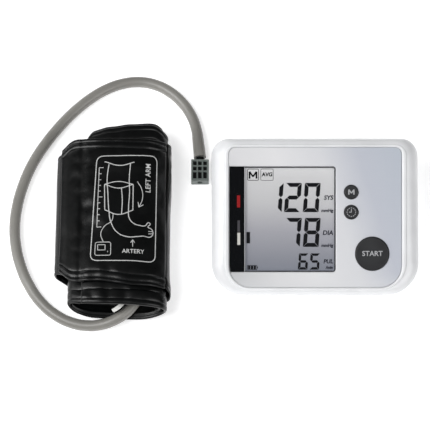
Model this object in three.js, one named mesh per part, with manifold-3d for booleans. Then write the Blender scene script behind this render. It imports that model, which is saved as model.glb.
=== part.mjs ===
// Upper-arm blood pressure monitor: a wedge-shaped desk console, its rolled arm cuff and the air
// hose with its plug. Millimetres, +Z up, +X to the right of someone reading the display, +Y to the
// back. The origin is the middle of the footprint of console and cuff, on the table.

import * as THREE from 'three';
import { mergeVertices } from 'three/addons/utils/BufferGeometryUtils.js';
import Module from 'manifold-3d';

const wasm = await Module();
wasm.setup();

// Layout on the table
const cuffToConsole = 31.4;
const consoleForward = 6.5;
const clearance = 0.3;

// Console housing, as outlines at its base, at its waist and round its rim
const wall = 2.2;
const baseWidth = 152;
const baseFront = 49.5;
const baseBack = 55.5;
const baseFrontRadius = 21;
const baseBackRadius = 10;
const baseEdge = 2.5;
const sideLean = 5.3;
const frontLean = 5.5;
const backLean = 6.5;
const waistFrontHeight = 10;
const waistBackHeight = 45;
const waistFrontRadius = 26;
const waistBackRadius = 13;
const rimWidth = 8.6;
const rimBead = 1.2;
const rimBeadInset = 1.4;
const rimFrontMargin = 2.1;
const rimBackMargin = 2.7;
const cornerSteps = 6;
const shoulderSteps = 5;
const partingFrontHeight = 8.5;
const partingBackHeight = 26;

// Tilted panel, with the depths of its layers below the rim's crest
const panelTilt = THREE.MathUtils.degToRad(22);
const panelHeight = 38.6;
const fasciaInset = 8.7;
const fasciaTop = 53.9;
const fasciaBottom = 55.3;
const fasciaTopRadius = 5;
const fasciaBottomRadius = 17;
const fasciaDepth = 0.4;
const fasciaThickness = 1.2;
const deckThickness = 3;
const windowDepth = 0.6;
const windowThickness = 1.8;
const windowTop = 39.4;
const windowBottom = 43.7;
const windowRightInset = 51.1;
const windowRadius = 2.5;
const windowLip = 1.3;
const stripWidth = 12.1;
const filmThickness = 0.3;

// Display and main board
const lcdOverlap = 3.5;
const lcdThickness = 2.8;
const lcdFrameWall = 2;
const lcdFrameLedge = 1.3;
const lcdFrameLedgeWidth = 2.4;
const zebraInset = 5.4;
const zebraWidth = 2.2;
const boardInset = 3.3;
const boardHeight = 97;
const boardOffset = -2.4;
const boardThickness = 1.6;
const postRadius = 2.2;
const postInset = 2.9;
const postBack = 40;
const boardScrewRadius = 1;
const boardScrewHead = 2;
const boardScrewLength = 5;
const chipSize = 14;
const chipThickness = 1.5;
const chipPlace = [-10, 6];
const buzzerRadius = 6;
const buzzerHeight = 5;
const buzzerInset = 18;
const buzzerV = 12;
const sensorSize = 10;
const sensorHeight = 5;
const sensorV = 34;

// Buttons, each with its place on the panel
const startRadius = 13.1;
const startInset = [22.8, 26.2];
const smallRadius = 5.45;
const memoryInset = [39.2, 34.8];
const clockInset = [39.2, 50.5];
const buttonRise = 0.9;
const buttonEdge = 0.5;
const buttonFlange = 1.2;
const buttonFlangeThickness = 1.2;
const buttonTravel = 0.8;
const stemRadius = 2.2;
const stemLength = 0.6;
const domeHeight = 0.6;
const matMargin = 1;

// Feet and case screws
const footHeight = 2.2;
const footRadius = 5.5;
const footInset = 18;
const screwInset = 5;
const screwFrontEdge = 16.5;
const screwBackEdge = 7;
const screwBackInset = 7.5;
const screwHeadRadius = 2.8;
const screwHeadHeight = 1.8;
const screwRadius = 1.4;
const screwGrip = 5.5;
const screwBite = 5;
const bossRadius = 4.2;

// Battery bay with four AA cells in two rows
const cellRadius = 7.1;
const cellLength = 49.2;
const cellNubRadius = 2.7;
const cellNub = 1;
const cellRowPitch = 16.6;
const bayToBack = 45.5;
const bayMargin = 0.9;
const bayWall = 1.6;
const springLength = 6.5;
const springRadius = 4.5;
const springTipRadius = 2.6;
const contactThickness = 0.5;
const contactSize = 11;

// Battery door, which slides out to the back
const doorLift = 0.3;
const doorThickness = 2;
const doorTongue = 1.2;
const doorTongueHeight = 1;
const doorFloor = 1.5;
const doorRearSetback = 1.6;
const gripRidges = 5;
const gripPitch = 3;
const gripLength = 30;
const gripHeight = 0.25;

// Pump, valve and air path
const pumpHeadSize = 25;
const pumpHeadLength = 24;
const motorRadius = 12;
const motorLength = 30;
const crankRadius = 5.5;
const crankLength = 3.5;
const crankThrow = 2.5;
const crankPinRadius = 1.2;
const crankPinLength = 4;
const shaftRadius = 1.5;
const shaftLength = 10;
const cradleThickness = 2;
const cradleWidth = 22;
const cradleHeight = 8;
const cradleShares = [0.25, 0.8];
const spigotRadius = 1.3;
const spigotLength = 2.5;
const tubeStraight = 3.5;
const tubeWall = 0.9;
const tubeSides = 8;
const manifoldSize = [11, 12, 16];
const manifoldShift = 3.7;
const socketTubeRun = 9;
const pumpTubeRun = 11.5;
const valveSize = [16, 12, 13];
const valveShift = 0.5;
const plungerRadius = 2.5;
const plungerLength = 7;
const valveSpringLength = 4;
const valveSpringWire = 0.7;

// Sockets in the side walls
const socketShift = 6.7;
const socketZ = 20;
const socketSetback = 2.6;
const socketMouth = [15.2, 9];
const socketWall = 2.2;
const socketDepth = 12;
const socketSpigotRadius = 1.7;
const socketSpigotLength = 5;
const jackSize = 10.5;
const jackDepth = 13;
const jackBore = 3.2;
const jackBoreDepth = 10;
const jackPin = 0.9;
const jackPinLength = 4;

// Rolled cuff: a flat-topped oval wound from fabric, bladder and lining, inside its closing strap
const rollWidth = 80;
const rollHeight = 29.1;
const rollLength = 153;
const squareness = 0.8;
const fabric = 1;
const bladderThickness = 1.2;
const lining = 0.8;
const layerGap = 0.4;
const rollOuterEnd = 130;
const rollInnerEnd = -392;
const tuckStart = -150;
const tuckEnd = -210;
const bladderStart = 100;
const bladderEnd = -260;
const bladderLength = 130;
const angleStep = 10;
const strapThickness = 2;
const strapLength = 124;
const strapSlackLeft = 6.8;
const strapSlackRight = 0.8;
const strapStart = 115;
const foldAngle = 25;
const flapEnd = 150;
const flapRise = 2.3;
const flapRiseEnd = 60;
const patchThickness = 0.8;
const patchStart = 62;
const patchEnd = 103;
const patchLength = 100;
const cuffRest = 0.4;

// Hose, the fitting where it leaves the bladder, the plug on its end and the care label
const hoseRadius = 4.4;
const hoseSides = 10;
const hoseSteps = 34;
const fittingRadius = 4.4;
const fittingLength = 9;
const fittingFlangeWidth = 8;
const fittingFlangeThickness = 1.2;
const neckRadius = 3.2;
const neckLength = 2.4;
const plugSize = [14.2, 18.8, 8.4];
const plugColumns = 3;
const plugRowLengths = [3.2, 3.2, 4.4];
const plugRecessWidth = 3;
const plugRecessDepth = 1.6;
const plugRecessTop = 1.6;
const plugRib = 1.1;
const plugBore = 2;
const plugBoreDepth = 5;
const labelSize = [7, 9, 0.5];
const labelShift = 4;

// The hose's route from the fitting out of the roll, round the cuff and on to the plug, with x
// measured from the roll's axis
const hoseFromRoll = [
  [21.5, -50.5, 12.3],
  [18.4, -60.4, 11.9],
  [13.8, -69.3, 11.5],
  [7.3, -76.6, 10.9],
  [-1.4, -81.8, 9.2],
  [-11.7, -84.7, 6.8],
  [-23.4, -85, 5.2],
  [-35.7, -82.2, 4.6],
  [-48, -75.8, 4.5],
  [-59.3, -65.7, 4.5],
  [-68.9, -51.8, 4.5],
  [-76.2, -35.4, 4.5],
  [-80.7, -17.8, 4.5],
  [-82.1, -0.1, 4.5],
  [-80.6, 16.6, 4.5],
  [-77.2, 31.9, 4.5],
  [-72.4, 46.1, 4.5],
  [-66.2, 59.4, 4.5],
  [-58.7, 71.8, 4.5],
  [-50.4, 83.4, 4.5],
  [-41.7, 94, 4.5],
  [-32.5, 103.3, 4.5],
  [-22.5, 111.7, 4.5],
  [-11.2, 118.9, 4.5],
  [1.6, 123.9, 4.5],
  [15.3, 125.5, 4.5],
  [28.5, 123, 4.5],
  [40.4, 116.6, 4.5],
  [50.3, 107.3, 4.5],
  [57.7, 95.9, 4.5],
  [62.1, 83.3, 4.6],
  [63.8, 70.6, 4.8],
  [65.1, 58.1, 5],
];

// Sizes worked out from the ones above
const waistWidth = baseWidth + 2 * sideLean;
const waistFront = baseFront + frontLean;
const waistBack = baseBack + backLean;
const fasciaWidth = baseWidth - 2 * fasciaInset;
const boardWidth = fasciaWidth - 2 * boardInset;
const baseBottom = footHeight + clearance;
const baseInside = baseBottom + wall;
const fasciaHalf = fasciaWidth / 2;
const rimHalf = (fasciaWidth + rimWidth) / 2;
const deckTop = fasciaDepth + fasciaThickness + clearance;
const deckBottom = deckTop + deckThickness;
const windowLedge = windowDepth + windowThickness + clearance;
const filmLedge = windowLedge + filmThickness + clearance;
const stripEdge = -fasciaHalf + stripWidth;
const windowRight = fasciaHalf - windowRightInset;
const startPlace = [fasciaHalf - startInset[0], startInset[1] - fasciaBottom];
const memoryPlace = [fasciaHalf - memoryInset[0], fasciaTop - memoryInset[1]];
const clockPlace = [fasciaHalf - clockInset[0], fasciaTop - clockInset[1]];
const buzzerPlace = [boardWidth / 2 - buzzerInset, buzzerV];
const lcdHole = {
  left: stripEdge + clearance,
  right: windowRight - windowLip,
  bottom: -windowBottom + windowLip,
  top: windowTop - windowLip,
};
const lcdDepth = deckBottom + clearance;
const lcdBack = lcdDepth + lcdThickness;
const lcdFrameBack = lcdBack + clearance + lcdFrameLedge;
const boardDepth = lcdFrameBack + clearance;
const boardBack = boardDepth + boardThickness;
const rollWall = fabric + bladderThickness + lining + 2 * clearance;
const strapBottom = strapThickness + cuffRest;
const rollCentreZ = strapBottom + rollHeight / 2;
const strapLeft = rollWidth / 2 + strapSlackLeft + strapThickness;
const strapRight = rollWidth / 2 + strapSlackRight + strapThickness;
const consoleX = (strapLeft + strapRight + cuffToConsole) / 2;
const rollX = -(consoleX + waistWidth / 2) + strapLeft;
const hoseRoute = hoseFromRoll.map(([x, y, z]) => [rollX + x, y, z]);
const tubeBore = spigotRadius + clearance;
const tubeRadius = tubeBore + tubeWall;

function toSolid(geometry) {
  const bare = geometry.clone();
  bare.deleteAttribute('normal');
  bare.deleteAttribute('uv');
  const merged = mergeVertices(bare);
  return new wasm.Manifold(new wasm.Mesh({
    numProp: 3,
    vertProperties: Float32Array.from(merged.attributes.position.array),
    triVerts: Uint32Array.from(merged.index.array),
  }));
}

function toGeometry(solid) {
  const mesh = solid.getMesh();
  const geometry = new THREE.BufferGeometry();
  geometry.setAttribute('position', new THREE.BufferAttribute(mesh.vertProperties, 3));
  geometry.setIndex(new THREE.BufferAttribute(mesh.triVerts, 1));
  geometry.computeVertexNormals();
  return geometry;
}

function cut(base, ...tools) {
  return tools.reduce((left, tool) => left.subtract(tool), base);
}

function join(...solids) {
  return solids.reduce((sum, solid) => sum.add(solid));
}

function box(from, to) {
  const [low, high] = [new THREE.Vector3(...from), new THREE.Vector3(...to)];
  const size = high.clone().sub(low);
  const middle = low.add(high).multiplyScalar(0.5);
  return new THREE.BoxGeometry(size.x, size.y, size.z).translate(middle.x, middle.y, middle.z);
}

// A solid of revolution about +Z. Its profile runs from the axis at the bottom, outwards and up,
// and back to the axis, as pairs of radius and height.
function turned(profile, sides) {
  const points = profile.map(([radius, height]) => new THREE.Vector2(radius, height));
  return new THREE.LatheGeometry(points, sides).rotateX(Math.PI / 2);
}

function disc(radius, bottom, top, sides = 16) {
  return turned([[0, bottom], [radius, bottom], [radius, top], [0, top]], sides);
}

// The same along +X, centred on y and z
function rod(radius, from, to, y, z, sides = 16) {
  return disc(radius, from, to, sides).rotateY(Math.PI / 2).translate(0, y, z);
}

function roundedShape({ left, right, bottom, top }, bottomRadius, topRadius = bottomRadius) {
  const shape = new THREE.Shape();
  shape.moveTo(left + bottomRadius, bottom);
  shape.absarc(right - bottomRadius, bottom + bottomRadius, bottomRadius, -Math.PI / 2, 0);
  shape.absarc(right - topRadius, top - topRadius, topRadius, 0, Math.PI / 2);
  shape.absarc(left + topRadius, top - topRadius, topRadius, Math.PI / 2, Math.PI);
  shape.absarc(left + bottomRadius, bottom + bottomRadius, bottomRadius, Math.PI, Math.PI * 1.5);
  return shape;
}

function grown({ left, right, bottom, top }, margin) {
  return { left: left - margin, right: right + margin, bottom: bottom - margin, top: top + margin };
}

function plate(shape, top, bottom) {
  const options = { depth: bottom - top, bevelEnabled: false, curveSegments: cornerSteps / 2 };
  return new THREE.ExtrudeGeometry(shape, options).translate(0, 0, -bottom);
}

function panelBox({ left, right, bottom, top }, depth, back) {
  return box([left, bottom, -back], [right, top, -depth]);
}

function tubeAlong(points, radius, bore, sides, steps) {
  const section = new THREE.Shape();
  section.absarc(0, 0, radius, 0, Math.PI * 2);
  if (bore > 0) {
    const hole = new THREE.Path();
    hole.absarc(0, 0, bore, 0, Math.PI * 2, true);
    section.holes.push(hole);
  }
  const extrudePath = new THREE.CatmullRomCurve3(points.map((point) => new THREE.Vector3(...point)));
  return new THREE.ExtrudeGeometry(section, { steps, extrudePath, curveSegments: sides / 2 });
}

function finish(color, roughness, metalness = 0) {
  return new THREE.MeshStandardMaterial({ color, roughness, metalness });
}

function addPiece(parent, name, shape, material) {
  const geometry = shape.isBufferGeometry ? shape : toGeometry(shape);
  const mesh = new THREE.Mesh(geometry, material);
  mesh.name = name;
  parent.add(mesh);
  return mesh;
}

// Housing outlines: a rounded rectangle in the sloping plane through a front and a back edge,
// each edge given as its y and z.
function outlinePoints({ front, back, halfWidth, frontRadius, backRadius }) {
  const length = front.distanceTo(back);
  const along = back.clone().sub(front).normalize();
  const corners = [
    [halfWidth - frontRadius, frontRadius, frontRadius],
    [halfWidth - backRadius, length - backRadius, backRadius],
    [backRadius - halfWidth, length - backRadius, backRadius],
    [frontRadius - halfWidth, frontRadius, frontRadius],
  ];
  return corners.flatMap(([x, reach, radius], corner) => {
    const start = (corner - 1) * Math.PI / 2;
    return Array.from({ length: cornerSteps + 1 }, (_, step) => {
      const angle = start + step / cornerSteps * Math.PI / 2;
      const distance = reach + radius * Math.sin(angle);
      const place = along.clone().multiplyScalar(distance).add(front);
      return new THREE.Vector3(x + radius * Math.cos(angle), place.x, place.y);
    });
  });
}

function blended(low, high, across, up) {
  const mixed = (a, b) => new THREE.Vector2(
    THREE.MathUtils.lerp(a.x, b.x, across),
    THREE.MathUtils.lerp(a.y, b.y, up),
  );
  return {
    front: mixed(low.front, high.front),
    back: mixed(low.back, high.back),
    halfWidth: THREE.MathUtils.lerp(low.halfWidth, high.halfWidth, across),
    frontRadius: THREE.MathUtils.lerp(low.frontRadius, high.frontRadius, across),
    backRadius: THREE.MathUtils.lerp(low.backRadius, high.backRadius, across),
  };
}

function inset(ring, amount) {
  const step = ring.back.clone().sub(ring.front).normalize().multiplyScalar(amount);
  return {
    front: ring.front.clone().add(step),
    back: ring.back.clone().sub(step),
    halfWidth: ring.halfWidth - amount,
    frontRadius: ring.frontRadius - amount,
    backRadius: ring.backRadius - amount,
  };
}

function loft(rings) {
  const outlines = rings.map(outlinePoints);
  const count = outlines[0].length;
  const index = [];
  for (let row = 0; row + 1 < outlines.length; row += 1) {
    for (let k = 0; k < count; k += 1) {
      const [a, b] = [row * count + k, row * count + (k + 1) % count];
      index.push(a, b, b + count, a, b + count, a + count);
    }
  }
  const topStart = (outlines.length - 1) * count;
  for (let k = 1; k + 1 < count; k += 1) {
    index.push(0, k + 1, k, topStart, topStart + k, topStart + k + 1);
  }
  const geometry = new THREE.BufferGeometry().setFromPoints(outlines.flat());
  geometry.setIndex(index);
  return geometry;
}

const panelMatrix = new THREE.Matrix4().makeRotationX(panelTilt).setPosition(0, 0, panelHeight);

function onPanel(geometry) {
  return toSolid(geometry.clone().applyMatrix4(panelMatrix));
}

function panelEdge(v, depth) {
  const point = new THREE.Vector3(0, v, -depth).applyMatrix4(panelMatrix);
  return new THREE.Vector2(point.y, point.z);
}

const baseRing = {
  front: new THREE.Vector2(-baseFront, baseBottom + baseEdge),
  back: new THREE.Vector2(baseBack, baseBottom + baseEdge),
  halfWidth: baseWidth / 2,
  frontRadius: baseFrontRadius,
  backRadius: baseBackRadius,
};
const waistRing = {
  front: new THREE.Vector2(-waistFront, waistFrontHeight),
  back: new THREE.Vector2(waistBack, waistBackHeight),
  halfWidth: waistWidth / 2,
  frontRadius: waistFrontRadius,
  backRadius: waistBackRadius,
};
const rimRing = {
  front: panelEdge(-fasciaBottom - rimFrontMargin, rimBead),
  back: panelEdge(fasciaTop + rimBackMargin, rimBead),
  halfWidth: rimHalf,
  frontRadius: fasciaBottomRadius + rimWidth / 2,
  backRadius: fasciaTopRadius + rimWidth / 2,
};
const crestRing = inset({
  ...rimRing,
  front: panelEdge(-fasciaBottom - rimFrontMargin, 0),
  back: panelEdge(fasciaTop + rimBackMargin, 0),
}, rimBeadInset);

const shoulderRings = Array.from({ length: shoulderSteps }, (_, step) => {
  const angle = (step + 1) / shoulderSteps * Math.PI / 2;
  return blended(waistRing, rimRing, 1 - Math.cos(angle), Math.sin(angle));
});

function atHeight(ring, height) {
  return {
    ...ring,
    front: new THREE.Vector2(ring.front.x, height),
    back: new THREE.Vector2(ring.back.x, height),
  };
}

const partingTilt = Math.atan2(partingBackHeight - partingFrontHeight, waistFront + waistBack);
const farSide = waistWidth * 2;

function partingHeight(y) {
  return partingFrontHeight + (y + waistFront) * Math.tan(partingTilt);
}

function partingHalf(side) {
  const middle = side * (farSide + clearance) / 2;
  const block = new THREE.BoxGeometry(farSide, farSide, farSide).translate(0, 0, middle);
  return toSolid(block.rotateX(partingTilt).translate(0, 0, partingHeight(0)));
}

const outerBody = toSolid(loft([
  atHeight(inset(baseRing, baseEdge * 0.8), baseBottom),
  atHeight(inset(baseRing, baseEdge * 0.25), baseBottom + baseEdge * 0.35),
  baseRing,
  waistRing,
  ...shoulderRings,
  crestRing,
]));
const belowDeck = onPanel(box([-farSide, -farSide, -farSide], [farSide, farSide, -deckBottom]));
const insideDeck = onPanel(box([-farSide, -farSide, -farSide], [farSide, farSide, -deckBottom + wall / 2]));
const innerBody = toSolid(loft([
  atHeight(inset(baseRing, wall), baseInside),
  ...[waistRing, ...shoulderRings].map((ring) => inset(ring, wall)),
])).intersect(belowDeck);

// The panel's outlines
const fasciaBounds = { left: -fasciaHalf, right: fasciaHalf, bottom: -fasciaBottom, top: fasciaTop };
const windowBounds = {
  left: -fasciaHalf - windowRadius * 2,
  right: windowRight,
  bottom: -windowBottom,
  top: windowTop,
};

function fasciaShape(margin) {
  return roundedShape(grown(fasciaBounds, margin), fasciaBottomRadius + margin, fasciaTopRadius + margin);
}

function windowShape(margin) {
  return roundedShape(grown(windowBounds, margin), windowRadius + margin);
}

const buttons = [
  { name: 'start_button', place: startPlace, radius: startRadius, sides: 28 },
  { name: 'memory_button', place: memoryPlace, radius: smallRadius, sides: 18 },
  { name: 'clock_button', place: clockPlace, radius: smallRadius, sides: 18 },
];

function buttonHoles(top, bottom) {
  return buttons.map(({ place, radius, sides }) => (
    disc(radius + clearance, -bottom, -top, sides).translate(...place, 0)
  ));
}

// Case screws and bosses stand outside the board, near the four corners
const frontScrewX = baseWidth / 2 - screwInset;
const backScrewX = baseWidth / 2 - screwBackInset;
const screwFront = baseFront - screwFrontEdge;
const screwBack = baseBack - screwBackEdge;
const screwPlaces = [
  [-frontScrewX, -screwFront],
  [frontScrewX, -screwFront],
  [-backScrewX, screwBack],
  [backScrewX, screwBack],
];

function column(radius, bottom, top, [x, y]) {
  return toSolid(disc(radius, bottom, top).translate(x, y, 0));
}

// Board posts hang from the deck
const boardLeft = boardOffset - boardWidth / 2;
const boardRight = boardOffset + boardWidth / 2;
const postFront = boardHeight / 2 - postInset;
const postPlaces = [
  [boardLeft + postInset, -postFront],
  [boardRight - postInset, -postFront],
  [boardLeft + postInset, postBack],
  [boardRight - postInset, postBack],
];
const boardScrewPlaces = [postPlaces[0], postPlaces[3]];

// Battery bay and door, seen from below the floor
const doorBottom = baseBottom + doorLift;
const doorTop = doorBottom + doorThickness;
const channelTop = doorTop + clearance;
const channelFloorTop = channelTop + doorFloor;
const cellZ = channelTop + clearance + cellRadius;
const bayHalfLength = (2 * (cellLength + cellNub) + springLength + contactThickness + 5 * clearance) / 2;
const bayHalfWidth = cellRowPitch / 2 + cellRadius + bayMargin;
const bayCentre = baseBack - bayToBack;
const bayFront = bayCentre - bayHalfWidth;
const bayRear = bayCentre + bayHalfWidth;
const bayTop = cellZ + cellRadius + bayMargin;
const doorHalf = bayHalfLength - doorTongue;
const doorFront = bayFront - doorTongue;
const doorRear = baseBack - doorRearSetback;

// Sockets face out of the side walls
const socketFace = waistWidth / 2 - socketSetback;
const socketBack = -socketFace + socketDepth + socketWall;

// The pump lies behind the battery bay, on the roof over the door's channel, in line with the
// manifold and the valve, which have the sockets at their outer ends
const pumpZ = channelFloorTop + clearance + pumpHeadSize / 2;
const pumpCentreY = bayRear + bayWall + clearance + pumpHeadSize / 2;
const socketY = pumpCentreY - socketShift;
const manifoldLeft = socketBack + socketTubeRun;
const manifoldRight = manifoldLeft + manifoldSize[0];
const manifoldCentre = [(manifoldLeft + manifoldRight) / 2, pumpCentreY - manifoldShift];
const pumpHeadLeft = manifoldRight + pumpTubeRun;
const motorLeft = pumpHeadLeft + pumpHeadLength + clearance;
const motorRight = motorLeft + motorLength;
const valveX = (motorRight + socketFace - jackDepth) / 2 + valveShift;
const valveCentre = [valveX, pumpCentreY];
const socketHalfY = socketMouth[0] / 2 + socketWall;
const socketHalfZ = socketMouth[1] / 2 + socketWall;
const jackHalf = jackSize / 2;

function wallCut(side, halfY, halfZ) {
  const [near, far] = [socketFace - jackDepth, farSide];
  const [low, high] = side < 0 ? [-far, -near] : [near, far];
  return toSolid(box(
    [low, socketY - halfY - clearance, socketZ - halfZ - clearance],
    [high, socketY + halfY + clearance, socketZ + halfZ + clearance],
  ));
}

const wallCuts = [wallCut(-1, socketHalfY, socketHalfZ), wallCut(1, jackHalf, jackHalf)];

function makeLowerCase() {
  const shell = outerBody.subtract(innerBody);
  const bosses = screwPlaces.map((place) => column(bossRadius, baseBottom + wall / 2, farSide, place));
  const bay = toSolid(box(
    [-bayHalfLength - bayWall, bayFront - bayWall, baseBottom + wall / 2],
    [bayHalfLength + bayWall, bayRear + bayWall, bayTop + bayWall],
  ));
  const channelRoof = toSolid(box(
    [-bayHalfLength - bayWall, bayFront - bayWall, baseBottom + wall / 2],
    [bayHalfLength + bayWall, baseBack, channelFloorTop],
  ));
  const cradles = cradleShares.map((share) => {
    const x = motorLeft + motorLength * share;
    return toSolid(box(
      [x - cradleThickness / 2, pumpCentreY - cradleWidth / 2, baseInside],
      [x + cradleThickness / 2, pumpCentreY + cradleWidth / 2, channelFloorTop + cradleHeight],
    ));
  });
  const filled = join(shell, ...bosses, bay, channelRoof, ...cradles).intersect(outerBody);
  const bayInside = toSolid(box(
    [-bayHalfLength, bayFront, channelTop - clearance],
    [bayHalfLength, bayRear, bayTop],
  ));
  const channel = toSolid(box(
    [-doorHalf - clearance, doorFront - clearance, baseBottom - clearance],
    [doorHalf + clearance, farSide, channelTop],
  ));
  const grooveBottom = doorTop - doorTongueHeight - clearance;
  const grooves = toSolid(box(
    [-doorHalf - doorTongue - clearance, doorFront - clearance, grooveBottom],
    [doorHalf + doorTongue + clearance, farSide, channelTop],
  ));
  const motorBed = toSolid(rod(
    motorRadius + clearance, motorLeft - clearance, motorRight + clearance, pumpCentreY, pumpZ, 20,
  ));
  const screwHoles = screwPlaces.flatMap((place) => {
    const seat = partingHeight(place[1]) - screwGrip;
    return [
      column(screwHeadRadius + clearance, baseBottom - clearance, seat, place),
      column(screwRadius + clearance, seat - clearance, farSide, place),
    ];
  });
  const opened = cut(filled, bayInside, channel, grooves, motorBed, ...screwHoles, ...wallCuts);
  return opened.intersect(partingHalf(-1));
}

function makeUpperCase() {
  const pocket = onPanel(plate(fasciaShape(clearance), -wall, deckTop));
  const windowSeat = onPanel(plate(windowShape(clearance), 0, windowLedge))
    .intersect(onPanel(plate(fasciaShape(clearance), 0, windowLedge)));
  const filmSide = { left: -farSide, right: stripEdge, bottom: -farSide, top: farSide };
  const filmSeat = onPanel(plate(windowShape(0), 0, filmLedge))
    .intersect(onPanel(plate(fasciaShape(0), 0, filmLedge)))
    .intersect(onPanel(panelBox(filmSide, 0, filmLedge)));
  const lcdOpening = onPanel(panelBox(lcdHole, 0, deckBottom + wall));
  const holes = buttonHoles(0, deckBottom + wall).map(onPanel);
  const posts = postPlaces.map(([u, v]) => (
    onPanel(disc(postRadius, -boardDepth + clearance, -deckTop - wall / 2, 12).translate(u, v, 0))
  ));
  const pilots = boardScrewPlaces.map(([u, v]) => (
    onPanel(disc(boardScrewRadius + clearance, -boardBack, -deckTop - wall, 12).translate(u, v, 0))
  ));
  const bosses = screwPlaces
    .map((place) => column(bossRadius, 0, farSide, place))
    .map((boss) => boss.intersect(outerBody).intersect(insideDeck));
  const pilotDepths = screwPlaces.map((place) => (
    column(screwRadius + clearance, 0, partingHeight(place[1]) + screwBite + clearance, place)
  ));
  const deckWithPosts = join(outerBody.subtract(innerBody), ...posts, ...bosses);
  const opened = cut(
    deckWithPosts, pocket, windowSeat, filmSeat, lcdOpening, ...holes, ...pilots, ...pilotDepths, ...wallCuts,
  );
  return opened.intersect(partingHalf(1));
}

function makeFascia() {
  const sheet = toSolid(plate(fasciaShape(0), fasciaDepth, deckTop - clearance));
  const holes = buttonHoles(0, deckTop).map(toSolid);
  return cut(sheet, toSolid(plate(windowShape(clearance), 0, deckTop)), ...holes);
}

function makeWindow() {
  return toSolid(plate(windowShape(0), windowDepth, windowDepth + windowThickness))
    .intersect(toSolid(plate(fasciaShape(0), windowDepth, windowDepth + windowThickness)));
}

function makeScaleFilm() {
  const [top, bottom] = [windowLedge, windowLedge + filmThickness];
  const stripSide = { left: -farSide, right: stripEdge - clearance, bottom: -farSide, top: farSide };
  return toSolid(plate(windowShape(-clearance), top, bottom))
    .intersect(toSolid(plate(fasciaShape(-clearance), top, bottom)))
    .intersect(toSolid(panelBox(stripSide, top, bottom)));
}

const lcdBounds = grown(lcdHole, lcdOverlap);
const frameBounds = grown(lcdBounds, clearance + lcdFrameWall);

function makeLcdFrame() {
  const throughBounds = grown(lcdBounds, -lcdFrameLedgeWidth);
  return cut(
    toSolid(panelBox(frameBounds, lcdDepth, lcdFrameBack)),
    toSolid(panelBox(grown(lcdBounds, clearance), 0, lcdBack + clearance)),
    toSolid(panelBox(throughBounds, 0, lcdFrameBack + wall)),
  );
}

function zebraStrip(side) {
  const edge = side > 0 ? lcdBounds.top : lcdBounds.bottom;
  const middle = edge - side * (lcdFrameLedgeWidth + clearance + zebraWidth / 2);
  return panelBox({
    left: lcdBounds.left + zebraInset,
    right: lcdBounds.right - zebraInset,
    bottom: middle - zebraWidth / 2,
    top: middle + zebraWidth / 2,
  }, lcdBack + clearance, boardDepth - clearance);
}

function makeMainBoard() {
  const bounds = { left: boardLeft, right: boardRight, bottom: -boardHeight / 2, top: boardHeight / 2 };
  const holes = boardScrewPlaces.map(([u, v]) => (
    toSolid(disc(boardScrewRadius + clearance, -boardBack - wall, 0, 12).translate(u, v, 0))
  ));
  const onto = panelMatrix.clone().invert();
  const notches = screwPlaces.map(([x, y]) => (
    toSolid(disc(bossRadius + clearance, 0, farSide).translate(x, y, 0).applyMatrix4(onto))
  ));
  return cut(toSolid(panelBox(bounds, boardDepth, boardBack)), ...holes, ...notches);
}

// Buttons are caps through the panel with a flange under the deck and a short stem on the mat
const flangeTop = deckBottom + clearance;
const flangeBottom = flangeTop + buttonFlangeThickness;
const stemBottom = flangeBottom + stemLength;
const domeTop = stemBottom + buttonTravel + clearance;
const matTop = domeTop + domeHeight;

function makeButton(radius, sides) {
  return turned([
    [0, -stemBottom],
    [stemRadius, -stemBottom],
    [stemRadius, -flangeBottom],
    [radius + buttonFlange, -flangeBottom],
    [radius + buttonFlange, -flangeTop],
    [radius, -flangeTop],
    [radius, buttonRise - buttonEdge],
    [radius - buttonEdge, buttonRise],
    [0, buttonRise],
  ], sides);
}

function makeKeypadMat() {
  const bounds = {
    left: smallestOf((place, radius) => place[0] - radius) - matMargin,
    right: -smallestOf((place, radius) => -place[0] - radius) + matMargin,
    bottom: smallestOf((place, radius) => place[1] - radius) - matMargin,
    top: -smallestOf((place, radius) => -place[1] - radius) + matMargin,
  };
  const domes = buttons.map(({ place }) => (
    toSolid(disc(stemRadius + matMargin, -boardDepth + clearance, -domeTop, 12).translate(...place, 0))
  ));
  return join(toSolid(panelBox(bounds, matTop, boardDepth - clearance)), ...domes);
}

function smallestOf(measure) {
  return Math.min(...buttons.map(({ place, radius }) => measure(place, radius)));
}

function boardScrew() {
  const seat = -boardBack - clearance;
  return turned([
    [0, seat - boardScrewHead / 2],
    [boardScrewHead, seat - boardScrewHead / 2],
    [boardScrewHead, seat],
    [boardScrewRadius, seat],
    [boardScrewRadius, seat + boardScrewLength],
    [0, seat + boardScrewLength],
  ], 10);
}

const underBoard = boardBack + clearance;

function makeSensor() {
  const half = sensorSize / 2;
  const bodyBack = underBoard + sensorHeight;
  return join(
    toSolid(box([-half, -half, -bodyBack], [half, half, -underBoard])),
    toSolid(disc(spigotRadius, -bodyBack - spigotLength, -bodyBack + clearance, 10)),
  );
}

function caseScrew([, y]) {
  const seat = partingHeight(y) - screwGrip - clearance;
  return turned([
    [0, seat - screwHeadHeight],
    [screwHeadRadius, seat - screwHeadHeight],
    [screwHeadRadius, seat],
    [screwRadius, seat],
    [screwRadius, partingHeight(y) + screwBite],
    [0, partingHeight(y) + screwBite],
  ], 12);
}

function makeDoor() {
  const leaf = toSolid(box([-doorHalf, doorFront, doorBottom], [doorHalf, doorRear, doorTop]));
  const tongues = toSolid(box(
    [-doorHalf - doorTongue, doorFront, doorTop - doorTongueHeight],
    [doorHalf + doorTongue, doorRear, doorTop],
  ));
  const ridges = Array.from({ length: gripRidges }, (_, k) => {
    const y = doorRear - (k + 2) * gripPitch;
    return toSolid(box(
      [-gripLength / 2, y, doorBottom - gripHeight],
      [gripLength / 2, y + gripPitch / 2, doorBottom + gripHeight],
    ));
  });
  return join(leaf, tongues, ...ridges);
}

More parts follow.
